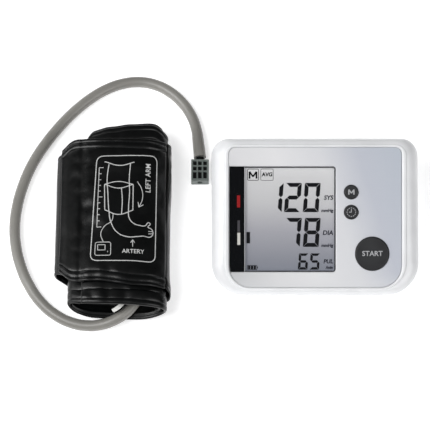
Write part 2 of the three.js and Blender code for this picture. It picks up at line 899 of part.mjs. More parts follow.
function makeCell() {
  return turned([
    [0, 0],
    [cellRadius, 0],
    [cellRadius, cellLength],
    [cellNubRadius, cellLength],
    [cellNubRadius, cellLength + cellNub],
    [0, cellLength + cellNub],
  ], 20).rotateY(Math.PI / 2);
}

function makePumpHead() {
  const half = pumpHeadSize / 2;
  const [left, right] = [pumpHeadLeft, pumpHeadLeft + pumpHeadLength];
  const chamberDepth = crankLength + crankPinLength + 3 * clearance;
  return cut(
    join(
      toSolid(box([left, pumpCentreY - half, pumpZ - half], [right, pumpCentreY + half, pumpZ + half])),
      toSolid(rod(spigotRadius, left - spigotLength, left + clearance, pumpCentreY, pumpZ, 10)),
    ),
    toSolid(rod(crankRadius + crankThrow / 2, right - chamberDepth, right + clearance, pumpCentreY, pumpZ)),
  );
}

function makeMotor() {
  const boreEnd = motorLeft + shaftLength + clearance;
  return cut(
    toSolid(rod(motorRadius, motorLeft, motorRight, pumpCentreY, pumpZ, 20)),
    toSolid(rod(shaftRadius + clearance, motorLeft - wall, boreEnd, pumpCentreY, pumpZ)),
  );
}

function makePumpShaft() {
  const crankRight = motorLeft - 2 * clearance;
  const crankLeft = crankRight - crankLength;
  return join(
    toSolid(rod(shaftRadius, crankLeft, motorLeft + shaftLength, pumpCentreY, pumpZ, 10)),
    toSolid(rod(crankRadius, crankLeft, crankRight, pumpCentreY, pumpZ)),
    toSolid(rod(crankPinRadius, crankLeft - crankPinLength, crankRight, pumpCentreY, pumpZ + crankThrow, 10)),
  );
}

// Air path: each tube is pushed over a spigot at both ends
function centredBox([width, depth, height], [x, y], bottom) {
  return box([x - width / 2, y - depth / 2, bottom], [x + width / 2, y + depth / 2, bottom + height]);
}

const airFloor = channelFloorTop + clearance;
const manifoldTop = airFloor + manifoldSize[2];
const valvePortX = manifoldCentre[0] - manifoldSize[0] / 4;
const sensorPortX = manifoldCentre[0] + manifoldSize[0] / 4;
const valveLeft = valveCentre[0] - valveSize[0] / 2;
const valveTop = airFloor + valveSize[2];
const valveInletX = valveLeft + wall + spigotRadius;
const boreX = valveLeft + valveSize[0] - wall - clearance - plungerRadius;
const boreBottom = airFloor + wall;
const springTop = boreBottom + clearance + valveSpringLength;

function makeManifold() {
  const topPorts = [valvePortX, sensorPortX].map((x) => (
    toSolid(disc(spigotRadius, manifoldTop - clearance, manifoldTop + spigotLength, 10)
      .translate(x, manifoldCentre[1], 0))
  ));
  const [pumpPortEnd, socketPortEnd] = [manifoldRight + spigotLength, manifoldLeft - spigotLength];
  return join(
    toSolid(centredBox(manifoldSize, manifoldCentre, airFloor)),
    toSolid(rod(spigotRadius, manifoldRight - clearance, pumpPortEnd, pumpCentreY, pumpZ, 10)),
    toSolid(rod(spigotRadius, socketPortEnd, manifoldLeft + clearance, socketY, socketZ, 10)),
    ...topPorts,
  );
}

function makeValveBody() {
  return cut(
    join(
      toSolid(centredBox(valveSize, valveCentre, airFloor)),
      toSolid(disc(spigotRadius, valveTop - clearance, valveTop + spigotLength, 10)
        .translate(valveInletX, pumpCentreY, 0)),
    ),
    column(plungerRadius + clearance, boreBottom, valveTop + clearance, [boreX, pumpCentreY]),
  );
}

function makePlunger() {
  const foot = springTop + clearance;
  return disc(plungerRadius, foot, foot + plungerLength).translate(boreX, pumpCentreY, 0);
}

function makeValveSpring() {
  const [inner, foot] = [plungerRadius - valveSpringWire, boreBottom + clearance];
  return turned([
    [inner, foot],
    [plungerRadius, foot],
    [plungerRadius, springTop],
    [inner, springTop],
    [inner, foot],
  ], 12).translate(boreX, pumpCentreY, 0);
}

function makeAirSocket() {
  const [left, back] = [-socketFace, socketBack];
  const mouthEnd = left + socketDepth;
  return join(
    cut(
      toSolid(box(
        [left, socketY - socketHalfY, socketZ - socketHalfZ],
        [back, socketY + socketHalfY, socketZ + socketHalfZ],
      )),
      toSolid(box(
        [left - wall, socketY - socketMouth[0] / 2, socketZ - socketMouth[1] / 2],
        [mouthEnd, socketY + socketMouth[0] / 2, socketZ + socketMouth[1] / 2],
      )),
    ),
    toSolid(rod(
      socketSpigotRadius, mouthEnd - socketSpigotLength, mouthEnd + clearance, socketY, socketZ, 12,
    )),
    toSolid(rod(spigotRadius, back - clearance, back + spigotLength, socketY, socketZ, 10)),
  );
}

function makeJack() {
  return join(
    cut(
      toSolid(box(
        [socketFace - jackDepth, socketY - jackHalf, socketZ - jackHalf],
        [socketFace, socketY + jackHalf, socketZ + jackHalf],
      )),
      toSolid(rod(jackBore, socketFace - jackBoreDepth, socketFace + wall, socketY, socketZ, 20)),
    ),
    toSolid(rod(jackPin, socketFace - jackBoreDepth - clearance, socketFace - jackBoreDepth + jackPinLength,
      socketY, socketZ, 8)),
  );
}

// Cuff layers follow a flat-topped oval round the roll's centre. A layer's face is given by how far
// it lies outside the roll's own outer face, or inside it where negative.
function ovalPoint(degrees, left, right, height) {
  const angle = THREE.MathUtils.degToRad(degrees);
  const [cosine, sine] = [Math.cos(angle), Math.sin(angle)];
  const side = cosine < 0 ? left : right;
  return new THREE.Vector2(
    side * Math.sign(cosine) * Math.abs(cosine) ** squareness,
    height * Math.sign(sine) * Math.abs(sine) ** squareness,
  );
}

function ramp(value, from, to) {
  return THREE.MathUtils.smoothstep((value - from) / (to - from), 0, 1);
}

function rollFace(degrees, outward) {
  const tucked = (rollWall + layerGap) * ramp(degrees, tuckStart, tuckEnd);
  const reach = rollWidth / 2 + outward - tucked;
  return ovalPoint(degrees, reach, reach, rollHeight / 2 + outward - tucked);
}

function strapFace(degrees, outward) {
  return ovalPoint(
    degrees,
    strapLeft - strapThickness + outward,
    strapRight - strapThickness + outward,
    rollHeight / 2 + cuffRest + outward,
  );
}

function flapFace(degrees, outward) {
  const rise = flapRise * ramp(degrees, foldAngle, flapRiseEnd);
  return ovalPoint(
    degrees,
    strapLeft - strapThickness + rise + outward,
    strapRight - strapThickness + outward,
    rollHeight / 2 + cuffRest + rise + outward,
  );
}

function patchFace(degrees, outward) {
  return ovalPoint(degrees, rollWidth / 2 + outward, rollWidth / 2 + outward, rollHeight / 2 + outward);
}

function sampleAngles(from, to) {
  const [low, high] = [Math.min(from, to), Math.max(from, to)];
  const first = Math.floor(low / angleStep) + 1;
  const count = Math.max(Math.ceil(high / angleStep) - first, 0);
  const rising = [low, ...Array.from({ length: count }, (_, k) => (first + k) * angleStep), high];
  return from < to ? rising : rising.reverse();
}

function woundSheet(face, from, to, outer, thickness, length) {
  const degrees = sampleAngles(from, to);
  const outside = degrees.map((angle) => face(angle, outer));
  const inside = degrees.map((angle) => face(angle, outer - thickness)).reverse();
  const shape = new THREE.Shape([...outside, ...inside]);
  const options = { depth: length, bevelEnabled: false };
  return new THREE.ExtrudeGeometry(shape, options).rotateX(Math.PI / 2).translate(0, length / 2, 0);
}

const bladderOuter = -fabric - clearance;
const liningOuter = bladderOuter - bladderThickness - clearance;
const loopOuter = clearance + patchThickness + clearance / 2;
const hookOuter = loopOuter + clearance + patchThickness;

function makeFitting() {
  const [start, next] = [new THREE.Vector3(...hoseRoute[0]), new THREE.Vector3(...hoseRoute[1])];
  const away = start.clone().sub(next);
  const turn = Math.atan2(away.y, away.x);
  const reach = Math.abs(start.x + fittingLength * Math.cos(turn) - rollX) + fittingFlangeWidth / 2;
  const share = Math.min(reach / (rollWidth / 2 - rollWall), 1);
  const drop = (rollHeight / 2 - rollWall) * (1 - share ** (2 / squareness)) ** (squareness / 2);
  const flangeBottom = rollCentreZ - drop + clearance - start.z;
  const stub = rod(fittingRadius, clearance, fittingLength, 0, 0, 12);
  const flange = box(
    [clearance, -fittingFlangeWidth / 2, flangeBottom],
    [fittingLength, fittingFlangeWidth / 2, flangeBottom + fittingFlangeThickness],
  );
  const placed = [stub, flange].map((shape) => (
    toSolid(shape.rotateZ(turn).translate(start.x, start.y, start.z))
  ));
  return join(...placed);
}

function makePlug() {
  const [x, hoseEnd, axisZ] = hoseRoute[hoseRoute.length - 1];
  const bodyBack = hoseEnd - neckLength - clearance;
  const [width, length, height] = plugSize;
  const neck = disc(neckRadius, 0, neckLength + clearance, 12).rotateX(-Math.PI / 2)
    .translate(x, bodyBack - clearance, axisZ);
  const body = toSolid(box([x - width / 2, bodyBack - length, 0], [x + width / 2, bodyBack, height]));
  const recesses = [];
  let rowBack = bodyBack - plugRecessTop;
  for (const rowLength of plugRowLengths) {
    for (let k = 0; k < plugColumns; k += 1) {
      const recessX = x + (k - (plugColumns - 1) / 2) * (plugRecessWidth + plugRib);
      recesses.push(toSolid(box(
        [recessX - plugRecessWidth / 2, rowBack - rowLength, height - plugRecessDepth],
        [recessX + plugRecessWidth / 2, rowBack, height + clearance],
      )));
    }
    rowBack -= rowLength + plugRib;
  }
  const bore = toSolid(disc(plugBore, 0, plugBoreDepth, 12).rotateX(-Math.PI / 2)
    .translate(x, bodyBack - length - clearance, height / 2));
  return cut(join(body, toSolid(neck)), ...recesses, bore);
}

// Assembly
const monitor = new THREE.Group();

const consoleGroup = new THREE.Group();
consoleGroup.position.set(consoleX, -consoleForward, 0);
monitor.add(consoleGroup);

const panel = new THREE.Group();
panel.position.set(0, 0, panelHeight);
panel.rotation.x = panelTilt;
consoleGroup.add(panel);

const roll = new THREE.Group();
roll.position.set(rollX, 0, rollCentreZ);
monitor.add(roll);

addPiece(consoleGroup, 'lower_case', makeLowerCase(), finish(0xe9eaec, 0.5));
addPiece(consoleGroup, 'upper_case', makeUpperCase(), finish(0xf2f3f5, 0.45));
for (const [k, [x, y]] of [[-1, -1], [1, -1], [-1, 1], [1, 1]].entries()) {
  const edge = y < 0 ? baseFront : baseBack;
  const pad = disc(footRadius, 0, footHeight);
  const foot = addPiece(consoleGroup, `foot_${k + 1}`, pad, finish(0x3a3d40, 0.9));
  foot.position.set(x * (baseWidth / 2 - footInset), y * (edge - footInset / 2), 0);
}
for (const [k, place] of screwPlaces.entries()) {
  const screw = addPiece(consoleGroup, `case_screw_${k + 1}`, caseScrew(place), finish(0x8d9196, 0.4, 0.9));
  screw.position.set(...place, 0);
}

addPiece(panel, 'fascia', makeFascia(), finish(0xcfd3da, 0.35, 0.4));
addPiece(panel, 'display_window', makeWindow(), finish(0xdfe3e6, 0.1));
addPiece(panel, 'scale_film', makeScaleFilm(), finish(0x0b0c0e, 0.4));
addPiece(panel, 'lcd_panel', panelBox(lcdBounds, lcdDepth, lcdBack), finish(0xaeb0b8, 0.3));
addPiece(panel, 'lcd_frame', makeLcdFrame(), finish(0xf0f0f0, 0.6));
addPiece(panel, 'zebra_strip_front', zebraStrip(-1), finish(0x4a3f46, 0.8));
addPiece(panel, 'zebra_strip_back', zebraStrip(1), finish(0x4a3f46, 0.8));
addPiece(panel, 'main_board', makeMainBoard(), finish(0x1f5a3a, 0.5));
addPiece(panel, 'keypad_mat', makeKeypadMat(), finish(0xc9ccd0, 0.8));
for (const { name, place, radius, sides } of buttons) {
  addPiece(panel, name, makeButton(radius, sides), finish(0x34373c, 0.45)).position.set(...place, 0);
}
for (const [k, place] of boardScrewPlaces.entries()) {
  addPiece(panel, `board_screw_${k + 1}`, boardScrew(), finish(0x8d9196, 0.4, 0.9)).position.set(...place, 0);
}
const chipHalf = chipSize / 2;
const chip = box([-chipHalf, -chipHalf, -underBoard - chipThickness], [chipHalf, chipHalf, -underBoard]);
addPiece(panel, 'microcontroller', chip, finish(0x1b1c1e, 0.5)).position.set(...chipPlace, 0);
const buzzer = disc(buzzerRadius, -underBoard - buzzerHeight, -underBoard);
addPiece(panel, 'buzzer', buzzer, finish(0x17181a, 0.5)).position.set(...buzzerPlace, 0);
const sensor = addPiece(panel, 'pressure_sensor', makeSensor(), finish(0xd8d4c8, 0.5));
sensor.position.set(sensorPortX, sensorV, 0);

addPiece(consoleGroup, 'battery_door', makeDoor(), finish(0xe9eaec, 0.5));
const rowYs = [bayCentre - cellRowPitch / 2, bayCentre + cellRowPitch / 2];
const cellStride = cellLength + cellNub + clearance;
for (const [row, y] of rowYs.entries()) {
  const facing = row === 0 ? 1 : -1;
  const springEnd = -facing * bayHalfLength;
  const firstCell = springEnd + facing * (springLength + 2 * clearance);
  const turn = facing > 0 ? 0 : Math.PI;
  for (let k = 0; k < 2; k += 1) {
    const name = `battery_${row * 2 + k + 1}`;
    const cell = addPiece(consoleGroup, name, makeCell(), finish(0x2f6f4a, 0.35, 0.3));
    cell.position.set(firstCell + facing * k * cellStride, y, cellZ);
    cell.rotation.z = turn;
  }
  const side = row === 0 ? 'front' : 'back';
  const spring = turned([
    [0, 0],
    [springRadius, 0],
    [springTipRadius, springLength],
    [0, springLength],
  ], 12).rotateY(Math.PI / 2);
  const springMesh = addPiece(consoleGroup, `contact_spring_${side}`, spring, finish(0xb9bcc0, 0.3, 1));
  springMesh.position.set(springEnd + facing * clearance, y, cellZ);
  springMesh.rotation.z = turn;
  const contactHalf = contactSize / 2;
  const contact = box([-contactThickness, -contactHalf, -contactHalf], [0, contactHalf, contactHalf]);
  const contactMesh = addPiece(consoleGroup, `contact_plate_${side}`, contact, finish(0xb9bcc0, 0.3, 1));
  contactMesh.position.set(-springEnd - facing * clearance, y, cellZ);
  contactMesh.rotation.z = turn;
}

addPiece(consoleGroup, 'pump_motor', makeMotor(), finish(0xa9adb2, 0.35, 0.9));
addPiece(consoleGroup, 'pump_head', makePumpHead(), finish(0x25272a, 0.5));
addPiece(consoleGroup, 'pump_shaft', makePumpShaft(), finish(0x9a9da2, 0.3, 1));
addPiece(consoleGroup, 'air_manifold', makeManifold(), finish(0xdcd8cc, 0.5));
addPiece(consoleGroup, 'valve_body', makeValveBody(), finish(0x2a2c30, 0.5));
addPiece(consoleGroup, 'valve_plunger', makePlunger(), finish(0x9a9da2, 0.3, 1));
addPiece(consoleGroup, 'valve_spring', makeValveSpring(), finish(0xb9bcc0, 0.3, 1));
addPiece(consoleGroup, 'air_socket', makeAirSocket(), finish(0x2a2c30, 0.5));
addPiece(consoleGroup, 'adapter_jack', makeJack(), finish(0x17181a, 0.5));

const sensorDepth = underBoard + sensorHeight + clearance;
const sensorExit = panelEdge(sensorV, sensorDepth);
const sensorBend = panelEdge(sensorV, sensorDepth + tubeStraight);
const manifoldY = manifoldCentre[1];
const tubeFoot = manifoldTop + clearance;
const overPump = pumpZ + pumpHeadSize / 2 + clearance + tubeRadius;
const behindSensor = sensorExit.x + sensorSize / 2 + 2 * tubeRadius;
const tubeRuns = [
  ['pump_tube', 2, [
    [manifoldRight + clearance, pumpCentreY, pumpZ],
    [pumpHeadLeft - clearance, pumpCentreY, pumpZ],
  ]],
  ['socket_tube', 2, [
    [socketBack + clearance, socketY, socketZ],
    [manifoldLeft - clearance, socketY, socketZ],
  ]],
  ['sensor_tube', 6, [
    [sensorPortX, manifoldY, tubeFoot],
    [sensorPortX, manifoldY, tubeFoot + tubeStraight],
    [sensorPortX, sensorBend.x, sensorBend.y],
    [sensorPortX, sensorExit.x, sensorExit.y],
  ]],
  ['valve_tube', 36, [
    [valvePortX, manifoldY, tubeFoot],
    [valvePortX, manifoldY, tubeFoot + tubeStraight],
    [valvePortX, manifoldY, tubeFoot + 2 * tubeStraight],
    [sensorPortX - tubeRadius, behindSensor, overPump],
    [sensorPortX + 3 * tubeRadius, behindSensor, overPump],
    [valveInletX - 4 * tubeRadius, behindSensor, overPump],
    [valveInletX, pumpCentreY, valveTop + clearance + 2 * tubeStraight],
    [valveInletX, pumpCentreY, valveTop + clearance + tubeStraight],
    [valveInletX, pumpCentreY, valveTop + clearance],
  ]],
];
for (const [name, steps, points] of tubeRuns) {
  const tube = tubeAlong(points, tubeRadius, tubeBore, tubeSides, steps);
  addPiece(consoleGroup, name, tube, finish(0xd9dcdd, 0.4));
}

const strapEnd = foldAngle + 360;
const sheetPieces = [
  ['cuff_fabric', rollFace, rollOuterEnd, rollInnerEnd, 0, fabric, rollLength, 0x16181a],
  ['bladder', rollFace, bladderStart, bladderEnd, bladderOuter, bladderThickness, bladderLength, 0x3c3a38],
  ['cuff_lining', rollFace, rollOuterEnd, rollInnerEnd, liningOuter, lining, rollLength, 0x101214],
  ['cuff_strap', strapFace, strapEnd, strapStart, strapThickness, strapThickness, strapLength, 0x181b1c],
  ['loop_patch', patchFace, patchEnd, patchStart, loopOuter, patchThickness, patchLength, 0x0e0f10],
  ['hook_patch', patchFace, patchEnd, patchStart, hookOuter, patchThickness, patchLength, 0x0e0f10],
  ['cuff_flap', flapFace, flapEnd, foldAngle + 1, strapThickness, strapThickness, strapLength, 0x1b1e1f],
];
for (const [name, face, from, to, outer, thickness, length, color] of sheetPieces) {
  addPiece(roll, name, woundSheet(face, from, to, outer, thickness, length), finish(color, 0.55));
}

addPiece(monitor, 'cuff_fitting', makeFitting(), finish(0x2b2c2e, 0.6));
const labelPlace = [rollX + labelShift, (labelSize[1] - rollLength) / 2];
const labelBottom = rollCentreZ + rollHeight / 2 - 2 * rollWall - layerGap - clearance - labelSize[2];
addPiece(monitor, 'care_label', centredBox(labelSize, labelPlace, labelBottom), finish(0xf4f4f2, 0.8));
addPiece(monitor, 'hose', tubeAlong(hoseRoute, hoseRadius, 0, hoseSides, hoseSteps), finish(0x9a988f, 0.5));
addPiece(monitor, 'hose_plug', makePlug(), finish(0x6c7472, 0.5));

export default monitor;
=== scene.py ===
import math

import bmesh
import bpy
from mathutils import Matrix, Vector, noise
from mathutils.bvhtree import BVHTree

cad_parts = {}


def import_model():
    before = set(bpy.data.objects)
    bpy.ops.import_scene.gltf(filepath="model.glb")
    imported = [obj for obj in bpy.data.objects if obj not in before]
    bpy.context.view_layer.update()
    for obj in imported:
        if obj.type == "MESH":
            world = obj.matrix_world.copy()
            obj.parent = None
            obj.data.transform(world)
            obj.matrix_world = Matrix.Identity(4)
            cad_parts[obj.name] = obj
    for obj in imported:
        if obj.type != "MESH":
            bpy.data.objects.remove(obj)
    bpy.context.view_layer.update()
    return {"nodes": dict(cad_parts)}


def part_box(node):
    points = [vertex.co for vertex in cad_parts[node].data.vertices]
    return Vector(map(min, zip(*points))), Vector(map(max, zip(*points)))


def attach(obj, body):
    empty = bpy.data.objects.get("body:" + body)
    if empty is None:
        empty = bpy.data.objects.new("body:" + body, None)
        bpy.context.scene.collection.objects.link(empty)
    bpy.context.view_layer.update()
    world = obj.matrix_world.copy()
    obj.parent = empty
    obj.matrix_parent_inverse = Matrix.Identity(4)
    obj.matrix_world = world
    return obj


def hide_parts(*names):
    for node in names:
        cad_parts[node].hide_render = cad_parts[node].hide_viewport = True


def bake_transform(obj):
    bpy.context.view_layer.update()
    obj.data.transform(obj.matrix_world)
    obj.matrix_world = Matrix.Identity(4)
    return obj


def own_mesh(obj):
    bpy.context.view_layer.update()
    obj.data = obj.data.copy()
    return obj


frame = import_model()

# Upper-arm blood pressure monitor: console, rolled cuff and hose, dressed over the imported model.
# Sizes in the dictionaries are millimetres, as in the part's source; Blender's are metres.
mm = 0.001
nodes = frame["nodes"]
scene = bpy.context.scene


# Shader helpers

def overloaded(operation):
    # A Math operation with the wire before or behind its sign
    def plain(wire, other):
        return wire.math(operation, wire, other)

    def reflected(wire, other):
        return wire.math(operation, other, wire)

    return plain, reflected


class Wire:
    # One output of a node. Sums and products written on it add Math nodes to its finish.
    def __init__(self, finish, socket):
        self.finish = finish
        self.socket = socket

    def math(self, operation, *values):
        inputs = dict(enumerate(values))
        return self.finish.node("ShaderNodeMath", {"operation": operation}, inputs)

    __add__, __radd__ = overloaded("ADD")
    __sub__, __rsub__ = overloaded("SUBTRACT")
    __mul__, __rmul__ = overloaded("MULTIPLY")
    __truediv__, __rtruediv__ = overloaded("DIVIDE")

    def sine(self):
        return self.math("SINE", self)

    def between(self, low, high):
        # 0 below low, 1 above high and smooth in between
        settings = {"interpolation_type": "SMOOTHSTEP", "clamp": True}
        inputs = {"Value": self, "From Min": low, "From Max": high, "To Min": 0.0, "To Max": 1.0}
        return self.finish.node("ShaderNodeMapRange", settings, inputs)


def tone(red, green, blue):
    # A colour as a picture stores it, made linear
    return tuple((part / 255 / 12.92) if part <= 10 else ((part / 255 + 0.055) / 1.055) ** 2.4
                 for part in (red, green, blue)) + (1.0,)


def fillRamp(ramp, stops):
    # Places and colours along a ramp, which starts with two
    for k, (place, colour) in enumerate(stops):
        element = ramp.elements[k] if k < 2 else ramp.elements.new(place)
        element.position = place
        element.color = tone(*colour)


class Finish:
    def __init__(self, name, colour, roughness, **constants):
        self.material = bpy.data.materials.new(name)
        self.material.use_nodes = True
        self.tree = self.material.node_tree
        self.shader = self.tree.nodes["Principled BSDF"]
        self.give("Base Color", tone(*colour))
        self.give("Roughness", roughness)
        for words, value in constants.items():
            self.give(words.replace("_", " ").title().replace("Ior", "IOR"), value)

    def feed(self, socket, value):
        if isinstance(value, Wire):
            self.tree.links.new(value.socket, socket)
        else:
            socket.default_value = value

    def give(self, name, value):
        self.feed(self.shader.inputs[name], value)

    def node(self, kind, settings=None, inputs=None, output=0):
        made = self.tree.nodes.new(kind)
        for name, value in (settings or {}).items():
            if name == "stops":
                fillRamp(made.color_ramp, value)
            else:
                setattr(made, name, value)
        for name, value in (inputs or {}).items():
            self.feed(made.inputs[name], value)
        return Wire(self, made.outputs[output])

    def coordinates(self, output="Object"):
        return self.node("ShaderNodeTexCoord", output=output)

    def parts(self, vector):
        split = self.node("ShaderNodeSeparateXYZ", inputs={0: vector})
        return [Wire(self, socket) for socket in split.socket.node.outputs]

    def noise(self, vector, scale, detail=3.0, roughness=0.5):
        inputs = {"Vector": vector, "Scale": scale, "Detail": detail, "Roughness": roughness}
        return self.node("ShaderNodeTexNoise", inputs=inputs)

    def cells(self, vector, scale):
        return self.node("ShaderNodeTexVoronoi", inputs={"Vector": vector, "Scale": scale})

    def stretched(self, vector, scale):
        return self.node("ShaderNodeVectorMath", {"operation": "MULTIPLY"}, {0: vector, 1: scale})

    def mixed(self, low, high, share):
        # Inputs 6 and 7 and output 2 are the node's colour sockets
        settings = {"data_type": "RGBA", "clamp_factor": True}
        low, high = (tone(*part) if isinstance(part, tuple) and len(part) == 3 else part
                     for part in (low, high))
        return self.node("ShaderNodeMix", settings, {0: share, 6: low, 7: high}, output=2)

    def run(self, value, stops):
        # Colours along a value, each stop a value and a colour
        low, high = stops[0][0], stops[-1][0]
        share = (value - low) / (high - low)
        stops = [((place - low) / (high - low), colour) for place, colour in stops]
        return self.node("ShaderNodeValToRGB", {"stops": stops}, {"Fac": share})

    def bump(self, height, distance, strength=1.0):
        inputs = {"Height": height, "Distance": distance, "Strength": strength}
        self.give("Normal", self.node("ShaderNodeBump", inputs=inputs))


# Finishes

def mouldedPlastic(name, low, high, roughness, grain=900, depth=0.00002, **constants):
    finish = Finish(name, high, roughness, **constants)
    place = finish.coordinates()
    cloudy = finish.noise(place, 45, 2)
    finish.give("Base Color", finish.mixed(low, high, cloudy.between(0.3, 0.7)))
    fine = finish.noise(place, grain, 2)
    finish.give("Roughness", roughness - 0.05 + 0.1 * cloudy)
    finish.bump(fine, depth, 0.35)
    return finish


def satinSilver():
    # Painted reflection: brightest left of its middle, cooler and darker towards the right, the
    # bands slightly aslant
    finish = Finish("satin_silver", (208, 211, 218), 0.36, metallic=0.25, specular_ior_level=0.5)
    place = finish.coordinates()
    x, y = finish.parts(place)[:2]
    paintedTones = [(-0.065, (202, 203, 205)), (-0.03, (230, 230, 232)), (0.0, (238, 238, 240)),
             (0.035, (228, 229, 233)), (0.065, (200, 204, 215)), (0.105, (193, 201, 212))]
    plain = finish.run(x + y * 0.36 - 0.044, paintedTones)
    # painted reflection: the plate paler along its lower edge
    paintedPaleLowerEdge = 1 - y.between(-0.064, -0.046)
    toned = finish.mixed(plain, (230, 232, 235), paintedPaleLowerEdge * 0.55)
    grain = finish.noise(finish.stretched(place, (0.03, 1.0, 1.0)), 2600, 2)
    finish.give("Base Color", finish.mixed(toned, (244, 245, 248), grain * 0.08))
    finish.give("Roughness", 0.32 + 0.1 * grain)
    finish.bump(grain, 0.000012, 0.25)
    return finish


def clearPlastic():
    finish = Finish("clear_window", (60, 64, 70), 0.06, alpha=0.04, ior=1.49,
                    specular_ior_level=0.5)
    hazy = finish.noise(finish.coordinates(), 30, 2)
    finish.give("Roughness", 0.05 + 0.05 * hazy)
    return finish


def displayGlass():
    # A grey field of painted light and shade, lighter at the far end and darker towards the viewer
    finish = Finish("display_glass", (185, 186, 192), 0.34, specular_ior_level=0.3)
    place = finish.coordinates()
    y = finish.parts(place)[1]
    paintedTones = [(-0.044, (141, 145, 156)), (-0.016, (178, 178, 186)), (0.006, (213, 213, 215)),
             (0.029, (229, 229, 230))]
    shade = finish.run(y, paintedTones)
    speck = finish.noise(place, 5200, 1)
    finish.give("Base Color",
                finish.mixed(shade, (120, 122, 134), speck.between(0.55, 0.8) * 0.1))
    finish.give("Roughness", 0.3 + 0.08 * speck)
    return finish


def glossyFilm():
    finish = Finish("black_film", (4, 4, 5), 0.12, specular_ior_level=0.3)
    dust = finish.noise(finish.coordinates(), 400, 3)
    finish.give("Base Color", finish.mixed((3, 3, 4), (8, 8, 10), dust.between(0.5, 0.8)))
    return finish


def printAndShadeTint(name, colour, roughness=0.45, **constants):
    finish = Finish(name, colour, roughness, **constants)
    worn = finish.noise(finish.coordinates(), 1400, 2)
    darker = tuple(part * 0.86 for part in colour)
    finish.give("Base Color", finish.mixed(darker, colour, worn.between(0.25, 0.6)))
    finish.give("Roughness", roughness - 0.06 + 0.12 * worn)
    return finish


def coatedNylon():
    # A plain weave under a thin glossy coat, on the cloth's own map in metres
    finish = Finish("cuff_nylon", (7, 8, 9), 0.3, coat_weight=0.1, coat_roughness=0.18,
                    specular_ior_level=0.36)
    flat = finish.coordinates("UV")
    along, across = finish.parts(flat)[:2]
    weave = 1500 * math.pi
    threads = (along * weave).sine() * (across * weave).sine()
    foldsAndCreaseShade = finish.noise(flat, 38, 4, 0.55)
    worn = finish.noise(flat, 240, 3)
    # painted shade: darker in the fold hollows, lighter on their crests
    finish.give("Base Color", finish.mixed((2, 3, 3), (7, 8, 9), foldsAndCreaseShade.between(0.35, 0.72)))
    finish.give("Roughness", 0.23 + 0.16 * worn)
    finish.bump(threads * 0.35 + foldsAndCreaseShade * 5.0 + worn * 0.8, 0.00005, 0.55)
    return finish


def closureCloth(name, low, high, pitch):
    # Hook-and-loop tape: rows of small knots
    finish = Finish(name, low, 0.92)
    flat = finish.coordinates("UV")
    knots = finish.cells(flat, pitch)
    fuzz = finish.noise(flat, pitch * 2.2, 3)
    finish.give("Base Color", finish.mixed(high, low, knots.between(0.1, 0.6)))
    finish.bump(fuzz * 0.6 - knots, 0.0004, 0.9)
    return finish


def labelTape():
    finish = Finish("label_tape", (236, 236, 232), 0.8)
    flat = finish.coordinates("UV")
    along, across = finish.parts(flat)[:2]
    threads = (along * 9000.0).sine() * (across * 9000.0).sine()
    worn = finish.noise(flat, 300, 2)
    finish.give("Base Color", finish.mixed((214, 214, 210), (244, 244, 241), worn))
    finish.bump(threads, 0.00006, 0.5)
    return finish


def hoseVinyl():
    finish = Finish("hose_vinyl", (146, 144, 139), 0.4, coat_weight=0.3, coat_roughness=0.25)
    place = finish.coordinates()
    cloudy = finish.noise(place, 22, 3)
    marks = finish.noise(place, 420, 3)
    finish.give("Base Color",
                finish.mixed((130, 128, 123), (144, 142, 137), cloudy.between(0.3, 0.7)))
    finish.give("Roughness", 0.36 + 0.12 * marks)
    finish.bump(marks, 0.00005, 0.3)
    return finish


def metal(name, colour, roughness, scratch=700):
    finish = Finish(name, colour, roughness, metallic=1.0)
    lines = finish.noise(finish.stretched(finish.coordinates(), (0.2, 1.0, 1.0)), scratch, 3)
    darker = tuple(part * 0.8 for part in colour)
    finish.give("Base Color", finish.mixed(darker, colour, lines.between(0.3, 0.7)))
    finish.give("Roughness", roughness - 0.06 + 0.14 * lines)
    finish.bump(lines, 0.00002, 0.3)
    return finish


def circuitBoard():
    finish = Finish("circuit_board", (28, 92, 58), 0.45, coat_weight=0.3, coat_roughness=0.2)
    place = finish.coordinates()
    tracks = finish.cells(place, 260)
    finish.give("Base Color", finish.mixed((20, 72, 44), (46, 122, 78), tracks.between(0.35, 0.45)))
    finish.bump(tracks, 0.00004, 0.3)
    return finish


